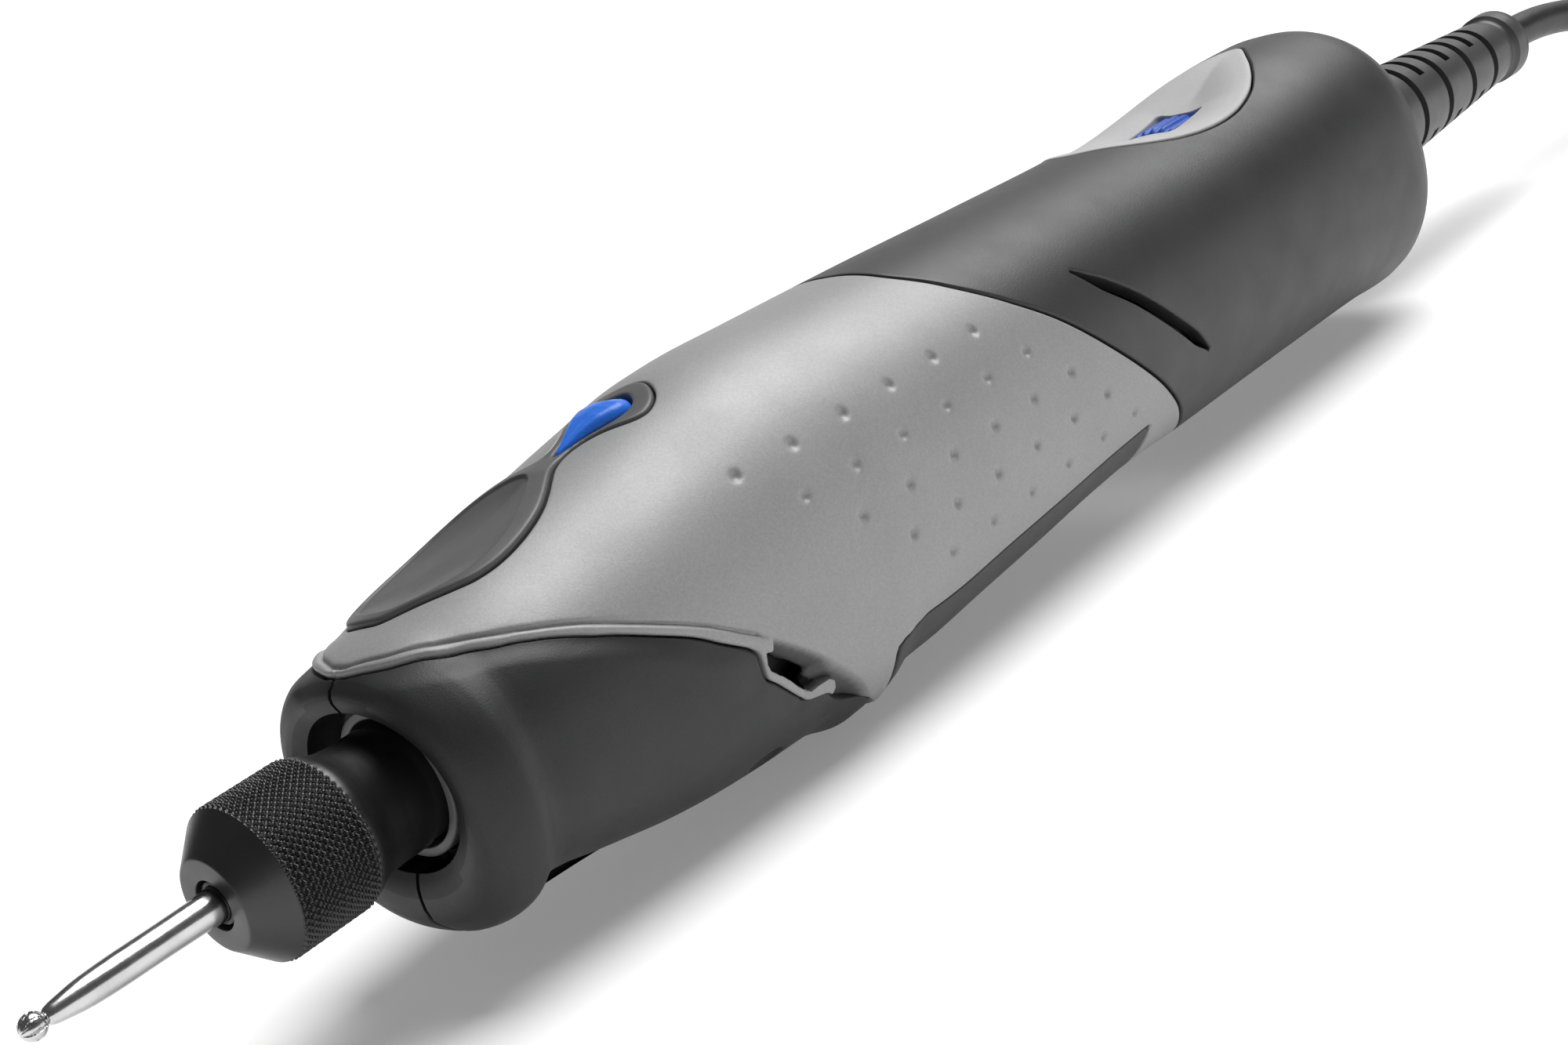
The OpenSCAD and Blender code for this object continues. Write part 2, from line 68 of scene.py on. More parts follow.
# ---------------------------------------------------------------- mesh helpers
def mesh_object(name, verts, faces, mat=None, sharp=35.0, merge=0.0):
    me = bpy.data.meshes.new(name)
    verts = np.asarray(verts, float)
    if merge:
        key = np.round(verts / merge).astype(np.int64)
        _, first, inv = np.unique(key, axis=0, return_index=True, return_inverse=True)
        inv = inv.reshape(-1)
        verts = verts[first]
        out = []
        for f in faces:
            g = [int(inv[i]) for i in f]
            h = [g[i] for i in range(len(g)) if g[i] != g[i - 1]]
            if len(set(h)) >= 3 and len(set(h)) == len(h):
                out.append(h)
        faces = out
    me.from_pydata(verts.tolist(), [], [tuple(f) for f in faces])
    me.validate()
    me.update()
    ob = bpy.data.objects.new(name, me)
    scene.collection.objects.link(ob)
    me.shade_smooth()
    me.set_sharp_from_angle(angle=math.radians(sharp))
    if mat is not None:
        me.materials.append(mat)
    return ob


def grid_faces(rows, cols, wrap=False, base=0, flip=False):
    i, j = np.meshgrid(np.arange(rows - 1), np.arange(cols if wrap else cols - 1), indexing="ij")
    i, j = i.ravel(), j.ravel()
    k = (j + 1) % cols
    f = np.stack([i * cols + j, i * cols + k, (i + 1) * cols + k, (i + 1) * cols + j], 1) + base
    return f[:, ::-1].tolist() if flip else f.tolist()


def join_parts(parts):
    """parts is a list of (verts, faces) and gives one (verts, faces)."""
    vs, fs, n = [], [], 0
    for v, f in parts:
        v = np.asarray(v, float).reshape(-1, 3)
        vs.append(v)
        fs += [[int(i) + n for i in q] for q in f]
        n += len(v)
    return np.concatenate(vs), fs


def turned(profile, n=96, cap0=False, cap1=False, centre=(0.0, 0.0), a0=0.0):
    """A surface turned about the x axis from (x, r) points, closed to the axis where r is 0."""
    prof = np.asarray(profile, float)
    th = a0 + np.arange(n) * 2 * pi / n
    x = np.repeat(prof[:, 0], n)
    r = np.repeat(prof[:, 1], n)
    t = np.tile(th, len(prof))
    v = np.stack([x, centre[0] + r * np.cos(t), centre[1] + r * np.sin(t)], 1)
    f = grid_faces(len(prof), n, wrap=True)
    if cap0:
        f.append(list(range(n)))
    if cap1:
        f.append([(len(prof) - 1) * n + i for i in range(n)][::-1])
    return v, f


def rounded(profile, r, steps=4):
    """Rounds the corners of an (x, r) polyline. r is one radius or one for each inner point."""
    p = [np.array(q, float) for q in profile]
    rr = r if hasattr(r, "__len__") else [r] * (len(p) - 2)
    out = [p[0]]
    for k in range(1, len(p) - 1):
        a, b, c = p[k - 1], p[k], p[k + 1]
        u, w = a - b, c - b
        lu, lw = np.linalg.norm(u), np.linalg.norm(w)
        if lu < 1e-9 or lw < 1e-9 or rr[k - 1] <= 0:
            out.append(b)
            continue
        u, w = u / lu, w / lw
        d = min(rr[k - 1], lu * 0.48, lw * 0.48)
        for s in np.linspace(0, 1, steps + 1):
            out.append((1 - s) ** 2 * (b + u * d) + 2 * s * (1 - s) * b + s * s * (b + w * d))
    out.append(p[-1])
    return [tuple(q) for q in out]


# ---------------------------------------------------------------- body surface
def curve_of(pts):
    """Monotone smooth curve through (x, y) points."""
    p = np.array(sorted(pts), float)
    x, y = p[:, 0], p[:, 1]
    h = np.diff(x)
    d = np.diff(y) / h
    m = np.zeros_like(y)
    for k in range(1, len(x) - 1):
        if d[k - 1] * d[k] > 0:
            w1, w2 = 2 * h[k] + h[k - 1], h[k] + 2 * h[k - 1]
            m[k] = (w1 + w2) / (w1 / d[k - 1] + w2 / d[k])
    m[0], m[-1] = d[0], d[-1]

    def f(q):
        q = np.clip(np.asarray(q, float), x[0], x[-1])
        i = np.clip(np.searchsorted(x, q) - 1, 0, len(x) - 2)
        s = (q - x[i]) / h[i]
        return ((1 + 2 * s) * (1 - s) ** 2 * y[i] + s * (1 - s) ** 2 * h[i] * m[i]
                + s * s * (3 - 2 * s) * y[i + 1] + s * s * (s - 1) * h[i] * m[i + 1])
    return f


W_OF = curve_of([(35.9, 12.4), (36.1, 12.8), (36.5, 13.35), (37.2, 14.05), (38.2, 14.75), (39.3, 15.3), (40.2, 15.5), (41, 15.38), (41.8, 15.08),
                 (42.6, 14.85), (43.4, 14.92), (44.5, 15.2), (46.5, 15.7), (50, 16.2), (57, 16.8), (66, 17.5), (75, 18.2), (84, 18.8),
                 (90, 19), (98, 19), (118, 18.6), (140, 18), (163, 17.7), (196, 17.7), (204, 17.5), (208, 16.4), (210.5, 14.3),
                 (211.5, 12)])
T_OF = curve_of([(35.9, 11.0), (36.3, 11.4), (37.8, 12.15), (40.5, 12.95), (43.5, 13.6), (46.5, 14.3), (50, 15.1), (57, 16.5), (66, 18.2), (75, 19.8),
                 (84, 21.2), (90, 21.4), (98, 21.2), (118, 20.7), (140, 19.9), (163, 19.3), (182, 19.8), (196, 20.6), (204, 20.5),
                 (208, 19.3), (210.5, 17.2), (211.5, 14.9)])
B_OF = curve_of([(35.9, 12.3), (36.3, 13.1), (37.8, 14.51), (39.2, 14.77), (40.4, 14.65), (41.4, 14.16), (42.6, 13.68), (44.2, 13.25), (46.5, 13.44),
                 (50, 14.23), (54, 15.1), (60, 16.3), (66, 17.06), (72, 17.5), (78, 17.75), (81, 18.4), (84, 19.3), (86.5, 19.5),
                 (88.5, 19.1), (90, 18.4), (92.5, 17.75), (98, 17.6), (106, 17.04), (118, 16.32), (130, 15.49), (140, 15.12), (150, 15.4),
                 (163, 15.5), (182, 15.73), (196, 16), (204, 16.48), (208, 15.6), (210.5, 13.5), (211.5, 11.2)])
EXP = 2 / 2.25


def skin(X, th, t=0.0):
    """Points of the skin at X and angle th (radians, 90 degrees is the top), t inside it."""
    w, u, d = W_OF(X) - t, T_OF(X) - t, B_OF(X) - t
    c, s = np.cos(th), np.sin(th)
    return np.stack([X + 0 * th, w * np.sign(c) * np.abs(c) ** EXP,
                     (u - d) / 2 + (u + d) / 2 * np.sign(s) * np.abs(s) ** EXP], -1)


# v is the distance round a reference section from the top: positive on the left side, negative on the right.
_a = np.linspace(pi / 2, 3 * pi / 2, 4001)
_c, _s = np.cos(_a), np.sin(_a)
_y = 17.7 * np.sign(_c) * np.abs(_c) ** EXP
_z = 1.5 + 18.5 * np.sign(_s) * np.abs(_s) ** EXP
_l = np.concatenate([[0], np.cumsum(np.hypot(np.diff(_y), np.diff(_z)))])
HALF = _l[-1]


def th_of(v):
    v = (np.asarray(v, float) + HALF) % (2 * HALF) - HALF
    g = np.interp(np.abs(v), _l, _a) - pi / 2
    return pi / 2 + np.sign(v) * g


def v_of(deg):
    """Distance round for an angle in degrees, 90 to 270 on the left side."""
    return np.interp(np.radians(deg), _a, _l)


def v_at(X, y):
    """Distance round on the top where the skin has this y (negative y is the left side)."""
    w = W_OF(X)
    c = np.sign(y) * (np.minimum(np.abs(y) / w, 1.0)) ** (1 / EXP)
    th = np.arccos(np.clip(c, -1, 1))
    return np.where(y <= 0, np.interp(np.abs(th), _a, _l), -np.interp(pi - th, _a, _l))


def place(X, v, d=0.0):
    """Points at X and v, d millimetres out of the skin along its normal."""
    X, v = np.asarray(X, float), np.asarray(v, float)
    e = 0.05
    p = skin(X, th_of(v))
    a = skin(X + e, th_of(v)) - skin(X - e, th_of(v))
    b = skin(X, th_of(v + e)) - skin(X, th_of(v - e))
    n = np.cross(b, a)
    n /= np.linalg.norm(n, axis=-1, keepdims=True) + 1e-12
    return p + n * np.asarray(d, float)[..., None]


EDGE_TAB = [(90, 36.42), (93, 36.46), (98, 36.8), (102, 37.2), (107, 37.8), (111, 38.5), (114.4, 39.3), (118, 40.2), (123.2, 41.23), (127.8, 42.26), (131.2, 43.27), (134.9, 44.29),
            (138.1, 45.33), (141, 46.56), (144.3, 47.76), (147.3, 48.97), (150.2, 50.08), (153.6, 51.39), (157, 52.7), (159.8, 54.01), (162.7, 55.32), (168.7, 58.13),
            (174.4, 61.12), (177.3, 62.61), (180.1, 64.1), (182.9, 65.68), (186, 67.17), (189.1, 67.95), (192.8, 68.04), (196.8, 68.23), (201.4, 69.53), (207, 71.08),
            (212.1, 72.55), (215.4, 73.66), (216.8, 74.94), (218.2, 76.33), (221, 77.4), (224.8, 78.26), (229.8, 80.35), (231, 82.17), (232.3, 83.8), (247, 86.7), (270, 89.0)]
EDGE = curve_of([(v_of(a), x) for a, x in EDGE_TAB])
GROOVE_TAB = [(90, 37.3), (93, 37.36), (97.6, 37.9), (102.4, 38.5), (107, 39.2), (110.5, 40.1), (114.5, 41.0), (119.8, 42), (127.4, 43.9), (134.3, 45.97), (140.9, 48.27),
              (147, 50.68), (153.1, 53.2), (159.4, 55.77), (165.3, 58.53), (171, 61.43), (176.8, 64.46), (182.2, 67.59), (185.3, 69.17), (188.7, 70.91),
              (192.9, 72.65), (197.9, 74.55), (204.2, 76.68), (212, 79.11), (220.8, 81.92), (229.4, 83.85), (247, 88.4)]
GROOVE = curve_of([(v_of(a), x) for a, x in GROOVE_TAB])
SEAM = curve_of([(v_of(a), x) for a, x in [(90, 110.5), (109, 110.95), (128.4, 113.89), (145.8, 118.54), (161.2, 123.84), (173.7, 128.32), (186.5, 133.89),
                                          (203.7, 139.77), (224, 145.1), (250, 149.5), (270, 151)]])


# ---------------------------------------------------------------- patches of skin
def inside(p, loops):
    ok = np.zeros(len(p), bool)
    for q in loops:
        a, b = q, np.roll(q, -1, 0)
        for k in range(0, len(p), 4000):
            s = p[k:k + 4000]
            c = (a[None, :, 1] > s[:, None, 1]) != (b[None, :, 1] > s[:, None, 1])
            den = np.where(np.abs(b[:, 1] - a[:, 1]) < 1e-12, 1e-12, b[:, 1] - a[:, 1])
            xx = (b[:, 0] - a[:, 0])[None] * (s[:, None, 1] - a[None, :, 1]) / den[None] + a[None, :, 0]
            ok[k:k + 4000] ^= ((c & (s[:, None, 0] < xx)).sum(1) % 2).astype(bool)
    return ok


def dist_to(p, segs):
    """Distance of each point to the nearest of the segments."""
    out = np.full(len(p), 1e9)
    if not len(segs):
        return out
    a, b = segs[:, 0], segs[:, 1]
    ab = b - a
    l2 = (ab ** 2).sum(1) + 1e-12
    for k in range(0, len(p), 3000):
        s = p[k:k + 3000]
        t = np.clip(((s[:, None] - a[None]) * ab[None]).sum(2) / l2[None], 0, 1)
        q = a[None] + ab[None] * t[..., None]
        out[k:k + 3000] = np.sqrt(((s[:, None] - q) ** 2).sum(2)).min(1)
    return out


def resample(loop, step):
    """Points about step apart along a closed loop, keeping its corners."""
    out = []
    n = len(loop)
    for i in range(n):
        a, b = np.array(loop[i], float), np.array(loop[(i + 1) % n], float)
        k = max(1, int(round(np.linalg.norm(b - a) / step)))
        for t in range(k):
            out.append(a + (b - a) * t / k)
    return np.array(out)


def patch(loops, step, height, wall=2.0, rim=0.3, extra=None, open_edge=None, edge_step=0.5, inner_step=3.5, rows=(0.05, 0.12, 0.2, 0.3, 0.55), warp=None, skip_wall=None):
    """A sheet of skin with thickness. loops are closed outlines in (X, v), the first one the outside.
    height(X, v, d) is how far the surface stands out, d being the distance to the edge. The edge is rounded by rim.
    open_edge(a, b) is true for edges that aren't real edges, where the sheet joins itself or another piece."""
    loops = [resample(q, edge_step) for q in loops]
    segs, real = [], []
    for q in loops:
        s = np.stack([q, np.roll(q, -1, 0)], 1)
        segs.append(s)
        real.append(np.array([not (open_edge and open_edge(a, b)) for a, b in s], bool))
    segs_all, real_all = np.concatenate(segs), np.concatenate(real)
    edge = segs_all[real_all]
    lo, hi = loops[0].min(0), loops[0].max(0)

    def fill(h, with_rows, more):
        gx = np.arange(lo[0] + h / 2, hi[0], h)
        gy = np.arange(lo[1] + h / 2, hi[1], h)
        g = np.stack(np.meshgrid(gx, gy, indexing="ij"), -1)
        g[::2, :, 1] += h * 0.5
        g = g.reshape(-1, 2)
        g = g[inside(g, loops)]
        g = g[dist_to(g, segs_all) > (0.75 * h if not with_rows else max(rows[-1] + 0.3 * h, 0.7 * h))]
        pts = [g]
        if with_rows:
            for q, r in zip(loops, real):
                t = np.roll(q, -1, 0) - np.roll(q, 1, 0)
                n = np.stack([-t[:, 1], t[:, 0]], 1)
                n /= np.linalg.norm(n, axis=1, keepdims=True) + 1e-12
                keep = r | np.roll(r, 1)
                for d in rows:
                    for sgn in (1, -1):
                        c = q[keep] + sgn * n[keep] * d
                        c = c[inside(c, loops)]
                        if len(c):
                            c = c[np.abs(dist_to(c, edge) - d) < 0.12 * d + 0.004]
                            if len(c) and open_edge is not None and (~real_all).any():
                                c = c[dist_to(c, segs_all[~real_all]) > 0.02]
                        if len(c):
                            pts.append(c)
        if more is not None and len(more):
            more = more[inside(more, loops)]
            more = more[dist_to(more, segs_all) > 0.15]
            near = np.zeros(len(pts[0]), bool)
            cell = {tuple(k) for k in np.floor(more / h).astype(int).tolist()}
            for i, k in enumerate(np.floor(pts[0] / h).astype(int).tolist()):
                near[i] = tuple(k) in cell
            pts[0] = pts[0][~near]
            pts.append(more)
        nb = sum(len(q) for q in loops)
        allp = np.concatenate(loops + pts)
        edges, k = [], 0
        for q in loops:
            edges += [(k + i, k + (i + 1) % len(q)) for i in range(len(q))]
            k += len(q)
        vs, _, fs, orig, _, _ = delaunay_2d_cdt([Vector(q) for q in allp], edges, [], 0, 1e-5)
        vs = np.array([tuple(q) for q in vs])
        fs = np.array([tuple(f) for f in fs])
        cen = vs[fs].mean(1)
        ok = inside(cen, loops)
        # drop slivers that lie along the outline
        a = vs[fs]
        area = np.abs(np.cross(a[:, 1] - a[:, 0], a[:, 2] - a[:, 0]))
        fs = fs[ok & (area > 1e-7)]
        return vs, fs

    outer, fo = fill(step, True, extra)
    inner, fi = fill(inner_step, False, None)
    d_edge = dist_to(outer, edge)
    r = np.clip(rim - d_edge, 0, rim)
    drop = rim - np.sqrt(np.maximum(rim * rim - r * r, 0))
    hgt = height(outer[:, 0], outer[:, 1], d_edge) - drop
    po = place(outer[:, 0], outer[:, 1], hgt)
    hi_ = height(inner[:, 0], inner[:, 1], dist_to(inner, edge)) * 0 - wall
    pin = place(inner[:, 0], inner[:, 1], hi_)
    if warp is not None:
        po, pin = warp(po, outer), warp(pin, inner)
    # make the outside face outward
    a = po[fo]
    nrm = np.cross(a[:, 1] - a[:, 0], a[:, 2] - a[:, 0])
    cen = a.mean(1)
    out = nrm[:, 1] * cen[:, 1] + nrm[:, 2] * (cen[:, 2] - 1.0)
    fo = fo[:, ::-1] if np.median(out) < 0 else fo
    a = pin[fi]
    nrm = np.cross(a[:, 1] - a[:, 0], a[:, 2] - a[:, 0])
    cen = a.mean(1)
    inw = nrm[:, 1] * cen[:, 1] + nrm[:, 2] * (cen[:, 2] - 1.0)
    fi = fi[:, ::-1] if np.median(inw) > 0 else fi
    parts = [(po, fo.tolist()), (pin, fi.tolist())]
    # the wall of each edge
    wv, wf = [], []
    for q, rl in zip(loops, real):
        n = len(q)
        e = height(q[:, 0], q[:, 1], np.zeros(n)) - rim
        top = place(q[:, 0], q[:, 1], e)
        bot = place(q[:, 0], q[:, 1], np.full(n, -wall))
        if warp is not None:
            top, bot = warp(top, q), warp(bot, q)
        k = sum(len(x) for x in wv)
        wv += [top, bot]
        for i in range(n):
            if rl[i]:
                j = (i + 1) % n
                wf.append([k + i, k + j, k + n + j, k + n + i])
    wv = np.concatenate(wv)
    parts.append((wv, wf))
    return join_parts(parts)


def fix_normals(ob):
    import bmesh
    bm = bmesh.new()
    bm.from_mesh(ob.data)
    bmesh.ops.recalc_face_normals(bm, faces=bm.faces)
    bm.to_mesh(ob.data)
    bm.free()


# ---------------------------------------------------------------- materials
def new_mat(name):
    mat = bpy.data.materials.new(name)
    mat.use_nodes = True
    nt = mat.node_tree
    bsdf = next(n for n in nt.nodes if n.type == "BSDF_PRINCIPLED")
    return mat, nt, bsdf


def add(nt, kind, **props):
    n = nt.nodes.new(kind)
    for k, v in props.items():
        setattr(n, k, v)
    return n


def noise(nt, coord, scale, detail=3.0, rough=0.55):
    n = add(nt, "ShaderNodeTexNoise")
    n.inputs["Scale"].default_value = scale
    n.inputs["Detail"].default_value = detail
    n.inputs["Roughness"].default_value = rough
    nt.links.new(coord, n.inputs["Vector"])
    return n.outputs["Fac"]


def ramp(nt, fac, stops):
    n = add(nt, "ShaderNodeValToRGB")
    while len(n.color_ramp.elements) < len(stops):
        n.color_ramp.elements.new(0.5)
    for e, (p, c) in zip(n.color_ramp.elements, stops):
        e.position = p
        e.color = c if hasattr(c, "__len__") else (c, c, c, 1)
    nt.links.new(fac, n.inputs["Fac"])
    return n.outputs["Color"]


def map_range(nt, value, a, b, c, d):
    n = add(nt, "ShaderNodeMapRange")
    for k, v in zip(("From Min", "From Max", "To Min", "To Max"), (a, b, c, d)):
        n.inputs[k].default_value = v
    nt.links.new(value, n.inputs["Value"])
    return n.outputs["Result"]


def surface(name, dark, light, rough=(0.4, 0.5), metallic=0.0, grain=9000.0, bump=0.02, depth=0.00002, blotch=90.0, spec=0.5, coat=0.0,
            coat_rough=0.2, sheen=0.0, speck=None, scratch=0.0, edge_wear=None, aniso=0.0, shade=None):
    """A moulded, painted or metal surface: colour that varies in broad soft patches and fine grain, with its own roughness and bump."""
    mat, nt, b = new_mat(name)
    tc = add(nt, "ShaderNodeTexCoord").outputs["Object"]
    big = noise(nt, tc, blotch, 4.0)
    fine = noise(nt, tc, grain, 2.0, 0.6)
    mix = add(nt, "ShaderNodeMath", operation="ADD")
    sc = add(nt, "ShaderNodeMath", operation="MULTIPLY")
    sc.inputs[1].default_value = 0.5
    nt.links.new(fine, sc.inputs[0])
    nt.links.new(big, mix.inputs[0])
    nt.links.new(sc.outputs[0], mix.inputs[1])
    col = ramp(nt, mix.outputs[0], [(0.45, (*dark, 1)), (1.0, (*light, 1))])
    if speck is not None:
        vor = add(nt, "ShaderNodeTexVoronoi")
        vor.inputs["Scale"].default_value = speck[0]
        nt.links.new(tc, vor.inputs["Vector"])
        lum = add(nt, "ShaderNodeMix", data_type="RGBA", blend_type="MULTIPLY")
        lum.inputs["Factor"].default_value = 1.0
        sr = ramp(nt, vor.outputs["Color"], [(0.0, 1.0 - speck[1]), (1.0, 1.0 + speck[1])])
        nt.links.new(col, lum.inputs["A"])
        nt.links.new(sr, lum.inputs["B"])
        col = lum.outputs["Result"]
    if edge_wear is not None:
        geo = add(nt, "ShaderNodeNewGeometry")
        pr = ramp(nt, geo.outputs["Pointiness"], [(0.52, 0.0), (0.6, 1.0)])
        nz = noise(nt, tc, 700.0, 4.0)
        m = add(nt, "ShaderNodeMath", operation="MULTIPLY")
        nt.links.new(pr, m.inputs[0])
        nt.links.new(nz, m.inputs[1])
        mx = add(nt, "ShaderNodeMix", data_type="RGBA")
        mx.inputs["B"].default_value = (*edge_wear, 1)
        nt.links.new(m.outputs[0], mx.inputs["Factor"])
        nt.links.new(col, mx.inputs["A"])
        col = mx.outputs["Result"]
    # painted shade: a mesh attribute darkens the colour towards shade[1]
    if shade is not None:
        at = add(nt, "ShaderNodeAttribute", attribute_name=shade[0])
        sm = add(nt, "ShaderNodeMix", data_type="RGBA", blend_type="MULTIPLY")
        sm.inputs["B"].default_value = (shade[1], shade[1], shade[1], 1)
        nt.links.new(at.outputs["Fac"], sm.inputs["Factor"])
        nt.links.new(col, sm.inputs["A"])
        col = sm.outputs["Result"]
    nt.links.new(col, b.inputs["Base Color"])
    rr = noise(nt, tc, blotch * 3.1, 5.0)
    nt.links.new(map_range(nt, rr, 0.3, 0.7, rough[0], rough[1]), b.inputs["Roughness"])
    b.inputs["Metallic"].default_value = metallic
    b.inputs["Specular IOR Level"].default_value = spec
    b.inputs["Coat Weight"].default_value = coat
    b.inputs["Coat Roughness"].default_value = coat_rough
    b.inputs["Sheen Weight"].default_value = sheen
    if aniso:
        b.inputs["Anisotropic"].default_value = aniso
    h = fine
    if scratch:
        mp = add(nt, "ShaderNodeMapping")
        mp.inputs["Scale"].default_value = (0.04, 1.0, 1.0)
        nt.links.new(tc, mp.inputs["Vector"])
        sn = noise(nt, mp.outputs["Vector"], 9000.0, 2.0)
        mm = add(nt, "ShaderNodeMix", data_type="FLOAT")
        mm.inputs["Factor"].default_value = scratch
        nt.links.new(fine, mm.inputs["A"])
        nt.links.new(sn, mm.inputs["B"])
        h = mm.outputs["Result"]
    bp = add(nt, "ShaderNodeBump")
    bp.inputs["Strength"].default_value = bump
    bp.inputs["Distance"].default_value = depth
    nt.links.new(h, bp.inputs["Height"])
    nt.links.new(bp.outputs["Normal"], b.inputs["Normal"])
    return mat


def g(v):
    return (v, v, v)


M_DARK = surface("soft_dark_plastic", (0.018, 0.0182, 0.0187), (0.026, 0.0262, 0.0268), rough=(0.44, 0.52), grain=5200, bump=0.45, depth=0.00005, blotch=60, spec=0.58, speck=(5200.0, 0.08))
# darker, less glossy copy of the dark plastic: painted shade for the nose halves
M_NOSE_PAINTED_SHADE = surface("soft_dark_plastic_painted_shade_nose", (0.016, 0.0162, 0.0167), (0.023, 0.0232, 0.0237), rough=(0.46, 0.54), grain=5200, bump=0.45, depth=0.00005, blotch=60, spec=0.42, speck=(5200.0, 0.08))
# darker, less glossy copy of the dark plastic: painted shade for the inside of the front opening
M_RECESS_SHADE = surface("painted_shade_recess", g(0.012), g(0.018), rough=(0.5, 0.6), grain=5200, bump=0.4, depth=0.00005, blotch=60, spec=0.35)
M_DARK2 = surface("soft_dark_rubber", (0.078, 0.078, 0.080), (0.098, 0.098, 0.100), rough=(0.42, 0.52), grain=6000, bump=0.4, depth=0.00004, blotch=70, spec=0.5)
# silver paint, darkened as painted shade in the scoop over the side vent by a mesh attribute
M_SILVER = surface("silver_paint", g(0.285), g(0.325), rough=(0.47, 0.54), metallic=0.20, grain=5200, bump=0.35, depth=0.00004, blotch=45, speck=(5500.0, 0.08), spec=0.5, shade=("painted_scoop_shade", 0.06))
M_TRIM = surface("silver_trim_paint", g(0.44), g(0.50), rough=(0.58, 0.66), metallic=0.08, grain=6000, bump=0.3, depth=0.00003, blotch=60, speck=(6000.0, 0.05), spec=0.3)
M_WHEEL = surface("blue_wheel_plastic", (0.009, 0.070, 0.40), (0.016, 0.098, 0.52), rough=(0.4, 0.48), grain=3500, bump=0.45, depth=0.00006, blotch=350, spec=0.3)
M_BLUE = surface("blue_plastic", (0.014, 0.140, 0.66), (0.024, 0.180, 0.80), rough=(0.34, 0.42), grain=3500, bump=0.45, depth=0.00006, blotch=350, spec=0.35, coat=0.06, coat_rough=0.3)
M_BLACK = surface("black_oxide", g(0.0085), g(0.0135), rough=(0.32, 0.40), metallic=0.0, grain=7000, bump=0.25, depth=0.00003, blotch=150, spec=0.65)
# lighter, glossier copy of the black metal: painted light for the neck, which sits in the shade of the opening
M_NECK_PAINTED_LIGHT = surface("black_metal_neck_painted_light", g(0.013), g(0.019), rough=(0.38, 0.46), metallic=0.0, grain=7000, bump=0.2, depth=0.00003, blotch=150, spec=0.7)
M_STEEL = surface("ground_steel", g(0.50), g(0.62), rough=(0.16, 0.26), metallic=1.0, grain=7000, bump=0.3, depth=0.00002, blotch=300, scratch=0.7)
M_STEEL_DARK = surface("dark_steel", g(0.16), g(0.24), rough=(0.3, 0.4), metallic=0.9, grain=7000, bump=0.3, depth=0.00003, blotch=300)
M_ALU = surface("turned_aluminium", g(0.62), g(0.70), rough=(0.26, 0.36), metallic=1.0, grain=6000, bump=0.3, depth=0.00003, blotch=200, scratch=0.4)
M_COLLET = surface("collet_steel", g(0.035), g(0.055), rough=(0.34, 0.44), metallic=0.7, grain=7000, bump=0.3, depth=0.00003, blotch=300)
M_COPPER = surface("copper_winding", (0.42, 0.16, 0.06), (0.62, 0.27, 0.12), rough=(0.28, 0.4), metallic=0.9, grain=3000, bump=0.5, depth=0.0001, blotch=300)
M_BOARD = surface("board_green", (0.012, 0.085, 0.03), (0.02, 0.13, 0.05), rough=(0.3, 0.42), grain=4000, bump=0.2, depth=0.00004, blotch=300)
M_INNER = surface("inner_plastic", g(0.03), g(0.045), rough=(0.45, 0.55), grain=5000, bump=0.3, depth=0.00004, blotch=90)
M_WHITE = surface("white_plastic", (0.70, 0.69, 0.65), (0.78, 0.77, 0.74), rough=(0.38, 0.48), grain=5000, bump=0.2, depth=0.00003, blotch=90)
M_MAGNET = surface("sintered_magnet", g(0.03), g(0.05), rough=(0.55, 0.7), metallic=0.3, grain=3500, bump=0.6, depth=0.00006, blotch=200)
M_RELIEF = surface("relief_rubber", g(0.045), g(0.062), rough=(0.34, 0.44), grain=5000, bump=0.35, depth=0.00005, blotch=120, spec=0.5)
M_CORD = surface("cord_jacket", g(0.013), g(0.019), rough=(0.36, 0.46), grain=4200, bump=0.35, depth=0.00006, blotch=110, spec=0.5)
M_BRASS = surface("pin_nickel", (0.55, 0.52, 0.46), (0.66, 0.63, 0.56), rough=(0.2, 0.3), metallic=1.0, grain=5000, bump=0.2, depth=0.00003, blotch=300, scratch=0.5)
# near-black painted shade for the vent walls, the vent mouth and the joint faces of the nose halves
M_SHADE_VOID = surface("painted_shade_inside", g(0.004), g(0.006), rough=(0.7, 0.8), grain=3000, bump=0.2, depth=0.00004, blotch=100, spec=0.2)
CAD_MAT = {
    "spindle_barrel": M_ALU, "front_bearing": M_STEEL, "rear_bearing": M_STEEL, "motor_frame": M_INNER,
    "motor_can": M_STEEL, "motor_magnets": M_MAGNET, "motor_end_cap": M_INNER, "brushes": M_COPPER, "circuit_board": M_BOARD,
    "potentiometer": M_INNER, "inner_cord": M_CORD, "cord_clamp": M_INNER, "housing_screws": M_BLACK, "collet": M_COLLET,
    "lock_disc": M_STEEL_DARK, "coupling": M_WHITE, "motor_shaft": M_STEEL, "armature": M_COPPER, "fan": M_WHITE, "lock_pin": M_STEEL,
}
for name, mat in CAD_MAT.items():
    if name in NODES:
        me = NODES[name].data
        if not me.materials:
            me.materials.append(mat)
        for i in range(len(me.materials)):
            me.materials[i] = mat


def piece(name, data, mat, body, nodes, sharp=35.0, merge=0.0, recalc=True):
    """Makes a piece from (verts in tool millimetres, faces), and says what it rides on and stands for."""
    v, f = data
    ob = mesh_object(name, row(v), f, mat, sharp, merge / 1000.0 if merge else 0.0)
    if recalc:
        fix_normals(ob)
        ob.data.shade_smooth()
        ob.data.set_sharp_from_angle(angle=math.radians(sharp))
    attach(ob, body)
    if nodes:
        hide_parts(*nodes)
    return ob


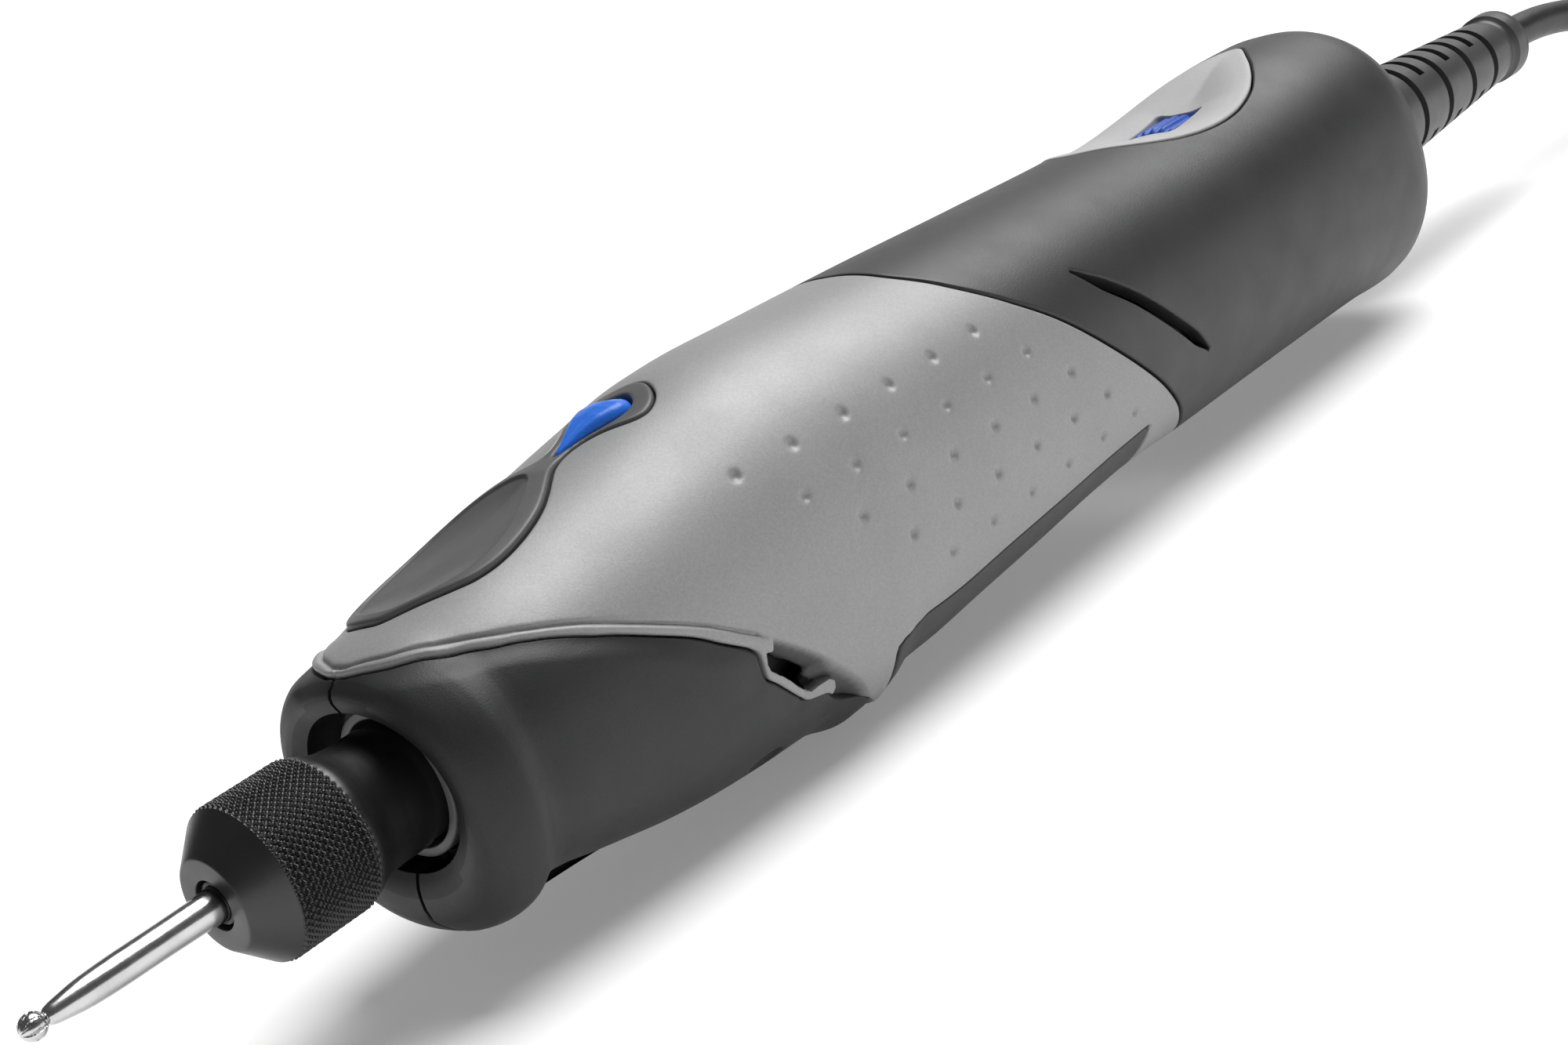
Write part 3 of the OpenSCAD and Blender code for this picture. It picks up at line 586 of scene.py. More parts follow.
# ---------------------------------------------------------------- cord, hank and power supply (row frame, millimetres)
LEAD = [(134, 0, 20.9), (140, 0, 20.75), (147, 0, 20.3), (154, -0.3, 19.3), (161, -1.1, 17.7), (168, -2.5, 15.5), (175, -4.5, 12.9),
        (182, -7, 10.2), (189, -9.7, 7.7), (196, -12.5, 5.6), (202, -14.8, 4.2), (208, -16.8, 3.3), (214, -18.4, 2.75), (220, -19.5, 2.6),
        (226, -20, 2.6)]
TAIL = [(290, -20, 17.75), (295, -19.6, 17.3), (300, -18.4, 16.2), (305, -16.7, 14.8), (309, -15.3, 13.8), (313, -14.3, 13.2), (317, -14, 13)]
CORD_R = 2.5


def smooth_path(pts, step):
    """A smooth line through the points with samples about step apart."""
    p = np.array(pts, float)
    n = len(p)
    q = np.vstack([2 * p[0] - p[1], p, 2 * p[-1] - p[-2]])
    out = []
    for i in range(n - 1):
        a, b, c, d = q[i], q[i + 1], q[i + 2], q[i + 3]
        k = max(2, int(np.linalg.norm(c - b) / step))
        for t in np.arange(k) / k:
            out.append(0.5 * ((2 * b) + (-a + c) * t + (2 * a - 5 * b + 4 * c - d) * t * t + (-a + 3 * b - 3 * c + d) * t ** 3))
    out.append(p[-1])
    return np.array(out)


def tube_mesh(path, r, n=20, ends=True):
    p = np.asarray(path, float)
    t = np.gradient(p, axis=0)
    t /= np.linalg.norm(t, axis=1, keepdims=True)
    u = np.cross([0, 0, 1.0], t[0])
    u /= np.linalg.norm(u)
    rings = []
    for i in range(len(p)):
        u = u - t[i] * np.dot(u, t[i])
        u /= np.linalg.norm(u)
        w = np.cross(t[i], u)
        a = np.arange(n) * 2 * pi / n
        rr = r if not hasattr(r, "__len__") else r[i]
        rings.append(p[i] + rr * (np.cos(a)[:, None] * u + np.sin(a)[:, None] * w))
    v = np.concatenate(rings)
    f = grid_faces(len(p), n, wrap=True)
    if ends:
        f.append(list(range(n))[::-1])
        f.append([(len(p) - 1) * n + i for i in range(n)])
    return v, f


def hank_path():
    """Seven turns round two fold centres, two columns and four layers."""
    cx0, cx1, cy = 230.0, 284.0, 0.0
    slots = [(20.05, 0), (15.0, 0), (15.0, 1), (20.05, 1), (20.05, 2), (15.0, 2), (15.0, 3), (20.05, 3)]
    pts = []
    for k in range(7):
        (r0, l0), (r1, l1) = slots[k], slots[k + 1]
        z0, z1 = 2.6 + 5.05 * l0, 2.6 + 5.05 * l1
        for t in np.linspace(0, 1, 9)[:-1]:
            pts.append((cx0 + (cx1 - cx0) * t, cy - r0, z0))
        for a in np.linspace(-90, 90, 15)[:-1]:
            pts.append((cx1 + r0 * math.cos(math.radians(a)), cy + r0 * math.sin(math.radians(a)), z0))
        for t in np.linspace(0, 1, 9)[:-1]:
            pts.append((cx1 + (cx0 - cx1) * t, cy + r0, z0))
        for a in np.linspace(90, 270, 19)[:-1]:
            s = (a - 90) / 180.0
            s = s * s * (3 - 2 * s)
            r, z = r0 + (r1 - r0) * s, z0 + (z1 - z0) * s
            pts.append((cx0 + r * math.cos(math.radians(a)), cy + r * math.sin(math.radians(a)), z))
    for t in np.linspace(0, 1, 9):
        pts.append((cx0 + (cx1 - cx0) * t, cy - 20.05, 2.6 + 5.05 * 3))
    return pts


lead = smooth_path(LEAD + [(230, -20.05, 2.6)], 2.0)
hank = np.array(hank_path())
tail = smooth_path([(284, -20.05, 17.75)] + TAIL, 2.0)
cord_line = np.concatenate([lead[:-1], hank[:-1], tail])
seg = np.linalg.norm(np.diff(cord_line, axis=0), axis=1)
# even spacing along the whole line, softened a little
s_at = np.concatenate([[0], np.cumsum(seg)])
CORD_LENGTH = float(s_at[-1])
even = np.linspace(0, CORD_LENGTH, int(CORD_LENGTH / 2.0))
cord_line = np.stack([np.interp(even, s_at, cord_line[:, k]) for k in range(3)], 1)
soft = cord_line.copy()
for _ in range(3):
    soft[1:-1] = (soft[:-2] + 2 * soft[1:-1] + soft[2:]) / 4
cord_line = soft
CORD_LENGTH = float(np.linalg.norm(np.diff(cord_line, axis=0), axis=1).sum())
v, f = tube_mesh(cord_line, CORD_R, 18)
cord = mesh_object("power_cord", np.asarray(v) / 1000.0, f, M_CORD, 50)
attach(cord, "housing")
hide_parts("cord_lead", "cord_hank", "cord_tail")

# tie: a woven strap wound round the hank; its folded tab is not modelled
def tie_mesh():
    x0, x1, cy = 251.2, 262.8, 0.0
    hw, z0, z1, r = 22.6, 0.12, 20.3, 4.5
    ring = []
    for cx_, cz_, a0 in [(hw - r, z1 - r, 0), (-hw + r, z1 - r, 90), (-hw + 1.2, z0 + 1.2, 180), (hw - 1.2, z0 + 1.2, 270)]:
        rr = r if a0 < 180 else 1.2
        for a in np.linspace(a0, a0 + 90, 10):
            ring.append((cy + cx_ + rr * math.cos(math.radians(a)), cz_ + rr * math.sin(math.radians(a))))
    ring = np.array(ring)
    c = np.array([cy, (z0 + z1) / 2])
    nrm = np.roll(ring, -1, 0) - np.roll(ring, 1, 0)
    nrm = np.stack([nrm[:, 1], -nrm[:, 0]], 1)
    nrm /= np.linalg.norm(nrm, axis=1, keepdims=True)
    prof = [(x0, 0.0), (x0, 0.5), (x0 + 0.25, 0.75)] + [(x, 0.75) for x in np.linspace(x0 + 1, x1 - 1, 10)] + [(x1 - 0.25, 0.75), (x1, 0.5), (x1, 0.0)]
    n = len(ring)
    vs = []
    for x, t in prof:
        floor = np.where(nrm[:, 1] < -0.7, np.minimum(t, 0.12), t)
        q = ring + nrm * floor[:, None]
        vs.append(np.stack([np.full(n, x), q[:, 0], q[:, 1]], 1))
    v = np.concatenate(vs)
    f = grid_faces(len(prof) + 1, n, wrap=True)
    f = [[i % len(v) for i in q] for q in f]
    return v, f


M_STRAP = surface("strap_weave", g(0.012), g(0.03), rough=(0.7, 0.85), grain=2600, bump=0.7, depth=0.0002, blotch=800, spec=0.3, sheen=0.2)
v, f = tie_mesh()
tie = mesh_object("hank_strap", v / 1000.0, f, M_STRAP, 40)
fix_normals(tie)
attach(tie, "housing")
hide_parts("hank_tie")


def rounded_box(x0, x1, y0, y1, z0, z1, r, n=6, crown=0.0):
    """A box with round edges as a grid of superellipse-like sections."""
    import bmesh
    bm = bmesh.new()
    bmesh.ops.create_cube(bm, size=1.0)
    for vtx in bm.verts:
        vtx.co = Vector(((x0 + x1) / 2 + vtx.co.x * (x1 - x0), (y0 + y1) / 2 + vtx.co.y * (y1 - y0), (z0 + z1) / 2 + vtx.co.z * (z1 - z0)))
    bmesh.ops.bevel(bm, geom=list(bm.edges), offset=r, segments=n, profile=0.5, affect="EDGES")
    v = [tuple(q.co) for q in bm.verts]
    f = [[q.index for q in fc.verts] for fc in bm.faces]
    bm.verts.index_update()
    f = [[q.index for q in fc.verts] for fc in bm.faces]
    bm.free()
    return np.array(v), f


def supply():
    """Power supply: two shells with a parting groove, vent slots and a moulded cord relief."""
    parts = [rounded_box(330, 350.8, -23, 17, 0, 26, 3.0), rounded_box(351.2, 372, -23, 17, 0, 26, 3.0), rounded_box(349, 353, -22.3, 16.3, 0.6, 25.4, 2.6)]
    for k in range(4):
        parts.append(rounded_box(335 + k * 3.2, 336.6 + k * 3.2, -15, 9, 25.6, 26.0, 0.18, 2))
    base = [(312.0, 2.55), (312.0, 2.85), (312.3, 2.95)]
    body = []
    for k in range(4):
        x = 314.0 + k * 3.6
        r = 2.95 + (x - 312) * 0.1
        body += [(x, r), (x + 0.05, r - 0.35), (x + 1.15, r - 0.3), (x + 1.2, r + 0.1)]
    tail_ = [(328.6, 4.7), (329.6, 5.0), (330.6, 5.6)]
    parts.append(turned(base + body + tail_, 40, centre=(-14.0, 13.0)))
    return join_parts(parts)


v, f = supply()
sup = mesh_object("power_supply", v / 1000.0, f, M_DARK, 40)
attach(sup, "housing")
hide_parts("adapter_body")


def pins():
    parts = []
    for s in (-1, 1):
        prof = rounded([(371.0, 0.0), (371.0, 2.0), (389.4, 2.0), (390.0, 1.2), (390.0, 0.0)], [0.0, 0.6, 0.5], 4)
        parts.append(turned(prof, 40, centre=(-3.0 + s * 9.5, 13.0)))
        parts.append(turned([(371.8, 3.6), (372.2, 3.5), (372.35, 3.2), (372.35, 1.9)], 40, centre=(-3.0 + s * 9.5, 13.0)))
    return join_parts(parts)


v, f = pins()
pn = mesh_object("supply_pins", v / 1000.0, f, M_BRASS, 40, 1e-7)
fix_normals(pn)
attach(pn, "housing")
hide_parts("adapter_pins")
print("cord length mm", round(CORD_LENGTH, 1))


# ---------------------------------------------------------------- grip cover
def rings(cx, cv, rs, n=18):
    out = [(cx, cv)]
    for k, r in enumerate(rs):
        for i in range(n):
            a = (i + 0.5 * (k % 2)) * 2 * pi / n
            out.append((cx + r * math.cos(a), cv + r * math.sin(a)))
    return out


PAD = [(42.7, 0), (43.1, 0.6), (44.2, 1.75), (45.7, 3.2), (47.3, 4.75), (49.4, 6.3), (51.5, 6.9), (53.7, 7.0), (56, 6.75), (58.2, 6.25), (60.1, 5.55), (62, 4.45),
       (63.9, 3.1), (65.5, 1.95), (66.9, 1.4), (68.5, 1.3), (70.1, 1.7), (71.9, 2.8), (73, 3.9), (74.2, 5.1), (75.6, 5.65), (77.4, 5.1), (78.9, 3.9), (80.1, 2.3), (80.8, 1.0), (81, 0)]
PAD_FAR = [(42.7, 0), (42.5, 1.6), (42.45, 3.4), (42.75, 4.9), (43.7, 6.3), (45.2, 7.5), (47.2, 8.6), (49.6, 9.4), (52.2, 9.8), (55, 9.8), (57.6, 9.3), (60, 8.3), (62, 6.9), (63.8, 5.2), (65.3, 3.5), (66.9, 2.2),
           (68.5, 1.9), (70.1, 2.4), (71.9, 3.4), (73, 4.3), (74.2, 5.2), (75.6, 5.65), (77.4, 5.1), (78.9, 3.9), (80.1, 2.3), (80.8, 1.0), (81, 0)]
PAD_V = curve_of([(x, y) for x, y in PAD])


def pad_loop(grow=0.0, n=220):
    p = np.array(PAD, float)
    t = np.concatenate([[0], np.cumsum(np.hypot(*np.diff(p, axis=0).T))])
    # smooth closed outline
    both = np.vstack([p, np.array(PAD_FAR, float)[-2:0:-1] * [1, -1]])
    both = np.vstack([both, both[:1]])
    s = np.concatenate([[0], np.cumsum(np.hypot(*np.diff(both, axis=0).T))])
    u = np.linspace(0, s[-1], n + 1)[:-1]
    q = np.stack([np.interp(u, s, both[:, 0]), np.interp(u, s, both[:, 1])], 1)
    for _ in range(3):
        q = (np.roll(q, 1, 0) + 2 * q + np.roll(q, -1, 0)) / 4
    tng = np.roll(q, -1, 0) - np.roll(q, 1, 0)
    nr = np.stack([tng[:, 1], -tng[:, 0]], 1)
    nr /= np.linalg.norm(nr, axis=1, keepdims=True)
    area = 0.5 * np.sum(q[:, 0] * np.roll(q[:, 1], -1) - np.roll(q[:, 0], -1) * q[:, 1])
    q = q + nr * grow * (1 if area > 0 else -1)
    return np.stack([q[:, 0], v_at(q[:, 0], -q[:, 1])], 1)


DIMPLES = []
for z, x0 in [(12.4, 74.7), (7.9, 79.8), (3.4, 85.2), (-1.1, 90.9), (-5.4, 96.3)]:
    for k in range(6):
        X = x0 + 7.35 * k - (0.5 if k == 5 and z < 0 else 0)
        # angle where the skin has this height on the left side
        u, d = float(T_OF(X)), float(B_OF(X))
        s = (z - (u - d) / 2) / ((u + d) / 2)
        a = math.asin(math.copysign(abs(s) ** (1 / EXP), s))
        DIMPLES.append((X, float(v_of(math.degrees(pi - a)))))


VENT = [(x, float(v_of(a))) for x, a in [(68.81, 189.6), (70.42, 194), (72.3, 199.2), (74.4, 206.1), (74.12, 208.4), (73.32, 210.3), (72.17, 206.6), (70.85, 201.4),
                                         (69.78, 198), (68.9, 195.4), (68.64, 192.9)]]


def line_of(tab, n):
    """Points evenly spaced along a polyline."""
    q = np.array(tab, float)
    t = np.concatenate([[0], np.cumsum(np.hypot(*np.diff(q, axis=0).T))])
    u = np.linspace(0, t[-1], n)
    return np.stack([np.interp(u, t, q[:, 0]), np.interp(u, t, q[:, 1])], 1)


_va = np.linspace(float(v_of(189.0)), float(v_of(247)), 60)
SCOOP_TOP = np.stack([GROOVE(_va), _va], 1)
HOOK = [(x, float(v_of(a))) for x, a in [(73.42, 210.5), (73.91, 211.9), (75.23, 211.7), (76.6, 212), (77.41, 214.2), (77.77, 217.8), (77.55, 221)]]
_vb = np.linspace(float(v_of(222)), float(v_of(247)), 20)
SCOOP = np.vstack([SCOOP_TOP, np.stack([EDGE(_vb) - 0.8, _vb], 1)[::-1], np.array(HOOK)[::-1], np.array(VENT)[6:], [(68.8, float(v_of(190.2)))]])


def chain(q):
    q = np.asarray(q, float)
    return np.stack([q[:-1], q[1:]], 1)


def scoop_depth(X, v):
    """How far the skin is drawn in over the side vent and under the toe of the cover."""
    p = np.stack([X, v], 1)
    m = inside(p, [SCOOP])
    h = np.zeros(len(X))
    if m.any():
        top = dist_to(p[m], chain(SCOOP_TOP))
        hole = dist_to(p[m], chain(VENT + VENT[:1]))
        h[m] = np.maximum(1.5 * top / (top + hole + 0.02), np.minimum(0.42 * top, 1.1))
    return h


V_FRONT = np.array(sorted(set(np.round(np.concatenate([np.linspace(0, float(v_of(188)), 118), np.linspace(float(v_of(188)), float(v_of(247)), 50)]), 5))))
V_FRONT = np.concatenate([-V_FRONT[:0:-1], V_FRONT])
FRONT = np.stack([EDGE(np.abs(V_FRONT)) + 0.14, V_FRONT], 1)
BEAD = FRONT[np.abs(V_FRONT) < float(v_of(190))]


def bead_width():
    vs = np.linspace(0, float(v_of(189)), 60)
    g_ = np.stack([GROOVE(vs), vs], 1)
    return vs, dist_to(g_, chain(BEAD))


BEAD_V, BEAD_W = bead_width()


def cover_parts():
    gp = 0.14
    toe_v, low_v = float(v_of(247)), [(86.4, 216), (86.6, 213.6), (87.6, 212.7), (89, 213.6), (91, 215.2), (95, 215.9), (101, 215.7), (108, 215.5), (118, 215.4), (128, 215.3), (136.2, 215.4)]
    left = [(87.3, v_of(243)), (87.0, v_of(236)), (86.7, v_of(229)), (86.5, v_of(221))]
    left += [(x, v_of(a)) for x, a in low_v]
    left += [(137.2, v_of(217)), (137.4, v_of(225)), (137.5, v_of(245)), (137.5, HALF)]
    left = [(x, float(v)) for x, v in left]
    seam = [(float(SEAM(abs(v))) - 0.24, v) for v in np.linspace(HALF, -HALF, 300)]
    loop = [tuple(q) for q in FRONT] + left + seam + [(x, -v) for x, v in left[::-1]]
    return loop


COVER_LOOP = cover_parts()


def at_bottom(a, b):
    return abs(abs(a[1]) - HALF) < 1e-6 and abs(abs(b[1]) - HALF) < 1e-6


def cover_height(X, v, d):
    h = np.zeros_like(X)
    p = np.stack([X, v], 1)
    near = (np.abs(v) < float(v_of(190))) & (X - EDGE(np.abs(v)) < 7)
    fd = np.full(len(X), 99.0)
    fd[near] = dist_to(p[near], chain(BEAD))
    w = np.interp(np.abs(v), BEAD_V, BEAD_W)
    # thin bead along the front lower edge with a groove behind it
    fade = np.clip((float(v_of(189)) - np.abs(v)) / 2.0, 0, 1)
    h -= 0.36 * np.exp(-((fd - w) / 0.27) ** 2) * fade
    h += 0.12 * np.clip(1 - ((fd / w - 0.5) / 0.5) ** 2, 0, 1)
    # parting notch across the bead at the top
    h -= 0.3 * np.exp(-(v / 0.2) ** 4) * (fd < w + 0.1)
    h -= scoop_depth(X, np.abs(v))
    for cx, cv in DIMPLES:
        for s in (1, -1):
            r = np.hypot(X - cx, v - s * cv)
            m = r < 1.5
            if m.any():
                h[m] -= 0.36 * np.exp(-(r[m] / 0.56) ** 2.6)
    return h


extra = []
for cx, cv in DIMPLES:
    for s in (1, -1):
        extra += rings(cx, s * cv, (0.16, 0.3, 0.44, 0.58, 0.72, 0.9, 1.15), 18)
tn = np.gradient(BEAD, axis=0)
nn = np.stack([tn[:, 1], -tn[:, 0]], 1)
nn /= np.linalg.norm(nn, axis=1, keepdims=True)
for q, n_, vv in zip(BEAD, nn, np.abs(BEAD[:, 1])):
    w = float(np.interp(vv, BEAD_V, BEAD_W))
    for k in [0.5 * w, 0.62 * w, 0.74 * w, 0.84 * w] + [w + j for j in (-0.16, -0.08, 0.0, 0.08, 0.16, 0.24, 0.36, 0.5, 0.75)]:
        if k > 0.6:
            extra.append(tuple(q + n_ * k))
for vv in (-0.36, -0.28, -0.2, -0.12, 0, 0.12, 0.2, 0.28, 0.36):
    for x in np.arange(36.75, 37.6, 0.12):
        extra.append((x, vv))
for s_ in (1, -1):
    top = line_of(SCOOP_TOP, 130)
    hook = line_of(HOOK, 60)
    for a_, off in ((top, (-0.25, -0.1, 0.05, 0.2, 0.4)), (hook, (-0.12, -0.03, 0.03, 0.12, 0.25))):
        t_ = np.gradient(a_, axis=0)
        n_ = np.stack([-t_[:, 1], t_[:, 0]], 1)
        n_ /= np.linalg.norm(n_, axis=1, keepdims=True)
        for o_ in off:
            extra += [(x, s_ * v_) for x, v_ in a_ + n_ * o_]
    for x in np.arange(68, 88, 0.28):
        for v_ in np.arange(float(v_of(190)), float(v_of(246)), 0.28):
            if inside(np.array([[x, v_]]), [SCOOP])[0]:
                extra.append((x, s_ * v_))
extra = np.array(extra)
pad_hole = pad_loop(0.14)
vent_l = np.array(VENT)
vent_r = vent_l * [1, -1]
cover = piece("grip_cover_shell", patch([COVER_LOOP, pad_hole, vent_l, vent_r], 0.9, cover_height, wall=1.9, rim=0.28, extra=extra, open_edge=at_bottom, edge_step=0.45),
              M_SILVER, "housing", ["grip_cover"], sharp=50, merge=0.004)
cover.data.materials.append(M_SHADE_VOID)
# painted shade: the walls of the side vents get the near-black material
_wl = resample(vent_l, 0.12)
_wc = np.concatenate([place(_wl[:, 0], _wl[:, 1], np.full(len(_wl), -k)) for k in np.arange(0.15, 4.0, 0.12)])
for poly in cover.data.polygons:
    c = np.array([cover.data.vertices[i].co for i in poly.vertices]) * 1000.0 + np.array([MID_X, 0.0, -AXIS_Z])
    if c[:, 0].min() > 67.5 and c[:, 0].max() < 76 and c[:, 2].max() < 3:
        c[:, 1] = -np.abs(c[:, 1])
        if ((_wc[None] - c[:, None]) ** 2).sum(2).min(1).max() < 0.025:
            poly.material_index = 1
# painted shade: the silver is darkened by how deep the skin is drawn in over the side vent, stored as a mesh attribute,
# and the vent's mouth gets the near-black inside material
_gx, _gv = np.meshgrid(np.arange(68, 88, 0.16), np.arange(float(v_of(186)), float(v_of(247)), 0.16), indexing="ij")
_gx, _gv = _gx.ravel(), _gv.ravel()
_gd = scoop_depth(_gx, _gv)
_gp = place(_gx, _gv, -_gd)
painted_scoop_shade = np.zeros(len(cover.data.vertices))
for i, vtx in enumerate(cover.data.vertices):
    c = np.array(vtx.co) * 1000.0 + np.array([MID_X, 0.0, -AXIS_Z])
    if 68 < c[0] < 88 and c[2] < 3 and abs(c[1]) > 5:
        q = c * [1, -1 if c[1] > 0 else 1, 1]
        d2 = ((_gp - q) ** 2).sum(1)
        k = int(np.argmin(d2))
        if d2[k] < 0.12:
            painted_scoop_shade[i] = 0.83 * min(1.0, _gd[k] / 0.55)
            x0 = c[0] - (MID_X - 58.36)
            if painted_scoop_shade[i] > 0.8 and x0 < 1.7 and c[2] < -7.95 - 1.03 * x0:
                painted_scoop_shade[i] = 1.0
for poly in cover.data.polygons:
    if all(painted_scoop_shade[i] == 1.0 for i in poly.vertices):
        poly.material_index = 1
att = cover.data.attributes.new("painted_scoop_shade", "FLOAT", "POINT")
att.data.foreach_set("value", painted_scoop_shade.astype(np.float32))


# ---------------------------------------------------------------- nose halves and belly
def nose_inset(X, vs, end):
    """The nose lies a little below the cover at the cover's edge, and has a small pocket low on each side."""
    de = np.clip((end - X) / 4.5, 0, 1)
    deep = 0.15 + 0.27 * np.clip(vs / 7.0, 0, 1)
    h = -deep * (1 - de * de * (3 - 2 * de))
    cx, cv = 69.9, float(v_of(236))
    u = np.sqrt(((X - cx) / 1.75) ** 2 + ((vs - cv) / 1.15) ** 2)
    h = h - 1.6 * np.exp(-u ** 6) * (X < end - 0.8)
    return h


def lip_oval(th, side, top, bottom):
    """A closed line round the opening. side, top and bottom are (x, distance from the axis)."""
    c, s = np.cos(th), np.sin(th)
    s2 = s * s
    x = side[0] + np.where(s > 0, top[0] - side[0], bottom[0] - side[0]) * s2
    z = np.where(s > 0, top[1], bottom[1]) * s
    return np.stack([x, side[1] * c, z], 1)


LIP = [((36.55, 9.65), (35.8, 8.3), (36.55, 8.0)), ((36.2, 10.5), (35.55, 8.85), (36.25, 8.6)), ((35.9, 11.15), (35.36, 9.4), (35.98, 9.3)),
       ((35.74, 11.7), (35.36, 9.95), (35.85, 10.2)), ((35.76, 12.0), (35.64, 10.5), (35.84, 11.3))]


def nose(side):
    """side is 1 for the left half and -1 for the right half."""
    gp = 0.14
    vs = np.concatenate([[0.0, 0.06, 0.14, 0.26, 0.45], np.linspace(0.9, HALF - 0.9, 190), [HALF - 0.45, HALF - 0.26, HALF - 0.14, HALF - 0.06, HALF]])
    mid = np.minimum(vs, HALF - vs)
    r = 0.22
    drop = r - np.sqrt(np.maximum(r * r - np.clip(r - mid, 0, r) ** 2, 0))
    n = len(vs)
    low_part = np.clip((vs / HALF - 0.55) / 0.45, 0, 1)
    low_part = low_part * low_part * (3 - 2 * low_part)
    rows = []

    def slant(x):
        """The joint of the halves runs aslant to the far side under the front lip."""
        return vs - side * low_part * np.interp(np.asarray(x, float), [35.9, 36.3, 37.6, 38.8, 41.5], [0.0, 0.9, 3.0, 3.0, 0.0])

    def ring(x, rad):
        t = th_of(slant(x))
        return np.stack([np.full(n, x), rad * np.cos(t), rad * np.sin(t)], 1)

    def skin_row(x, d):
        return place(x, slant(x), d)
    end = np.maximum(EDGE(vs) - gp, 36.3)
    # recess: bore, groove round the boss, side wall that opens out to the oval opening, front band
    for x, rad in rounded([(41.2, 7.55), (40.0, 7.55), (39.9, 8.3), (39.3, 8.5)], [0.1, 0.3], 3):
        rows.append(ring(x, rad))
    base = ring(39.3, 8.5)
    t36 = th_of(slant(36.0))
    edge_in = lip_oval(t36, *LIP[0])
    for k in (0.14, 0.3, 0.46, 0.62, 0.76, 0.88, 0.96):
        q = base * (1 - k) + edge_in * k
        q[:, 1:] += (q[:, 1:] / (np.linalg.norm(q[:, 1:], axis=1, keepdims=True) + 1e-9)) * 0.5 * k * (1 - k) * 2
        rows.append(q)
    for spec in LIP:
        rows.append(lip_oval(t36, *spec))
    grid = []
    # from the lip's front to the edge of the cover, denser at both ends
    ts = np.concatenate([np.linspace(0, 0.34, 34)[:-1], np.linspace(0.34, 0.94, 62)[:-1], np.linspace(0.94, 1, 9)])
    for t in ts:
        grid.append(35.97 + (end - 35.97) * (t ** 1.3))
    for x in grid:
        de = np.maximum(end - x, 0)
        rr = 0.2
        dd = rr - np.sqrt(np.maximum(rr * rr - np.clip(rr - de, 0, rr) ** 2, 0))
        rows.append(skin_row(x, -drop - dd + nose_inset(x, vs, end)))
    # under the cover, and deeper behind the side vent
    low = np.exp(-((vs - float(v_of(204))) / 6.5) ** 4)
    for k, t in ((0.05, 0.9), (0.25, 1.6), (1.0, 2.1), (3.4, 2.3)):
        rows.append(skin_row(end + k, -t - 1.9 * low * min(1.0, k * 2.5)))
    for t in np.linspace(1, 0, 12):
        x = 41.2 + (end + 3.0 - 41.2) * t
        x = np.maximum(x, 41.2)
        rows.append(skin_row(x, -2.75 - 2.3 * low * (1.0 if t > 0.4 else t / 0.4)))
    rows.append(ring(41.2, 7.55))
    v = np.concatenate(rows)
    f = grid_faces(len(rows), n)
    # close the two long cuts
    for col in (0, n - 1):
        c = [i * n + col for i in range(len(rows))]
        a, b = 0, len(c) - 1
        while b - a > 1:
            if (b - a) == 2:
                f.append([c[a], c[a + 1], c[b]])
                break
            f.append([c[a], c[a + 1], c[b - 1], c[b]])
            a += 1
            b -= 1
    v[:, 1] -= 0.24
    if side < 0:
        v[:, 1] *= -1
    return v, f


nose_l = piece("nose_shell_left", nose(1), M_NOSE_PAINTED_SHADE, "housing", ["nose_left"], sharp=45)
nose_r = piece("nose_shell_right", nose(-1), M_NOSE_PAINTED_SHADE, "housing", ["nose_right"], sharp=45)
for half in (nose_l, nose_r):
    half.data.materials.append(M_SHADE_VOID)
    half.data.materials.append(M_RECESS_SHADE)
    # painted shade: the faces inside the front opening get the darker recess material
    for poly in half.data.polygons:
        c = np.array(poly.center) * 1000.0 + np.array([MID_X, 0.0, -AXIS_Z])
        if c[0] < 40.0 and (c[1] / 11.55) ** 2 + (c[2] / (9.75 if c[2] > 0 else 9.9)) ** 2 < 1.0:
            poly.material_index = 2
    # painted shade: the faces where the two halves meet get the near-black material
    for poly in half.data.polygons:
        if abs(poly.normal[1]) > 0.6 and abs(poly.center[1]) < 0.0042 and len(poly.vertices) <= 4:
            co = [half.data.vertices[i].co for i in poly.vertices]
            if max(max(abs(a[k] - b_[k]) for a in co for b_ in co) for k in (0, 2)) > 0.0012:
                poly.material_index = 1


ring_prof = rounded([(41.3, 6.4), (38.2, 6.4), (38.2, 7.32), (41.3, 7.32), (41.3, 6.4)], [0.15, 0.2, 0.1], 3)
M_RING = surface("grey_ring", g(0.13), g(0.17), rough=(0.4, 0.5), grain=5000, bump=0.3, depth=0.00004, blotch=120, spec=0.5)
rng = piece("recess_ring", turned(ring_prof, 144), M_RING, "housing", ["front_ring"], sharp=40, merge=0.0005)


def belly():
    top = [(87.0, 222), (87.05, 216.6), (87.3, 214.9), (88.0, 214.0), (88.9, 214.8), (90.8, 216.2), (95, 216.9), (101, 216.7), (108, 216.5), (118, 216.4), (128, 216.3), (136.2, 216.4)]
    left = [(x, float(v_of(a))) for x, a in top]
    loop = [(88.0, HALF), (87.8, float(v_of(252))), (87.4, float(v_of(238)))] + left + [(136.9, float(v_of(219))), (137.2, float(v_of(228))), (137.2, HALF)]
    other = [(x, 2 * HALF - v) for x, v in loop[::-1][1:-1]]
    return loop + other


def belly_height(X, v, d):
    u = np.abs(v - HALF)
    h = np.zeros_like(X) - 0.12
    h += 0.12 * np.exp(-((v - HALF) / 9.0) ** 2)
    return h


belly_piece = piece("belly_shell", patch([belly()], 1.2, belly_height, wall=2.0, rim=0.3), M_DARK, "housing", ["belly_panel"], sharp=50)


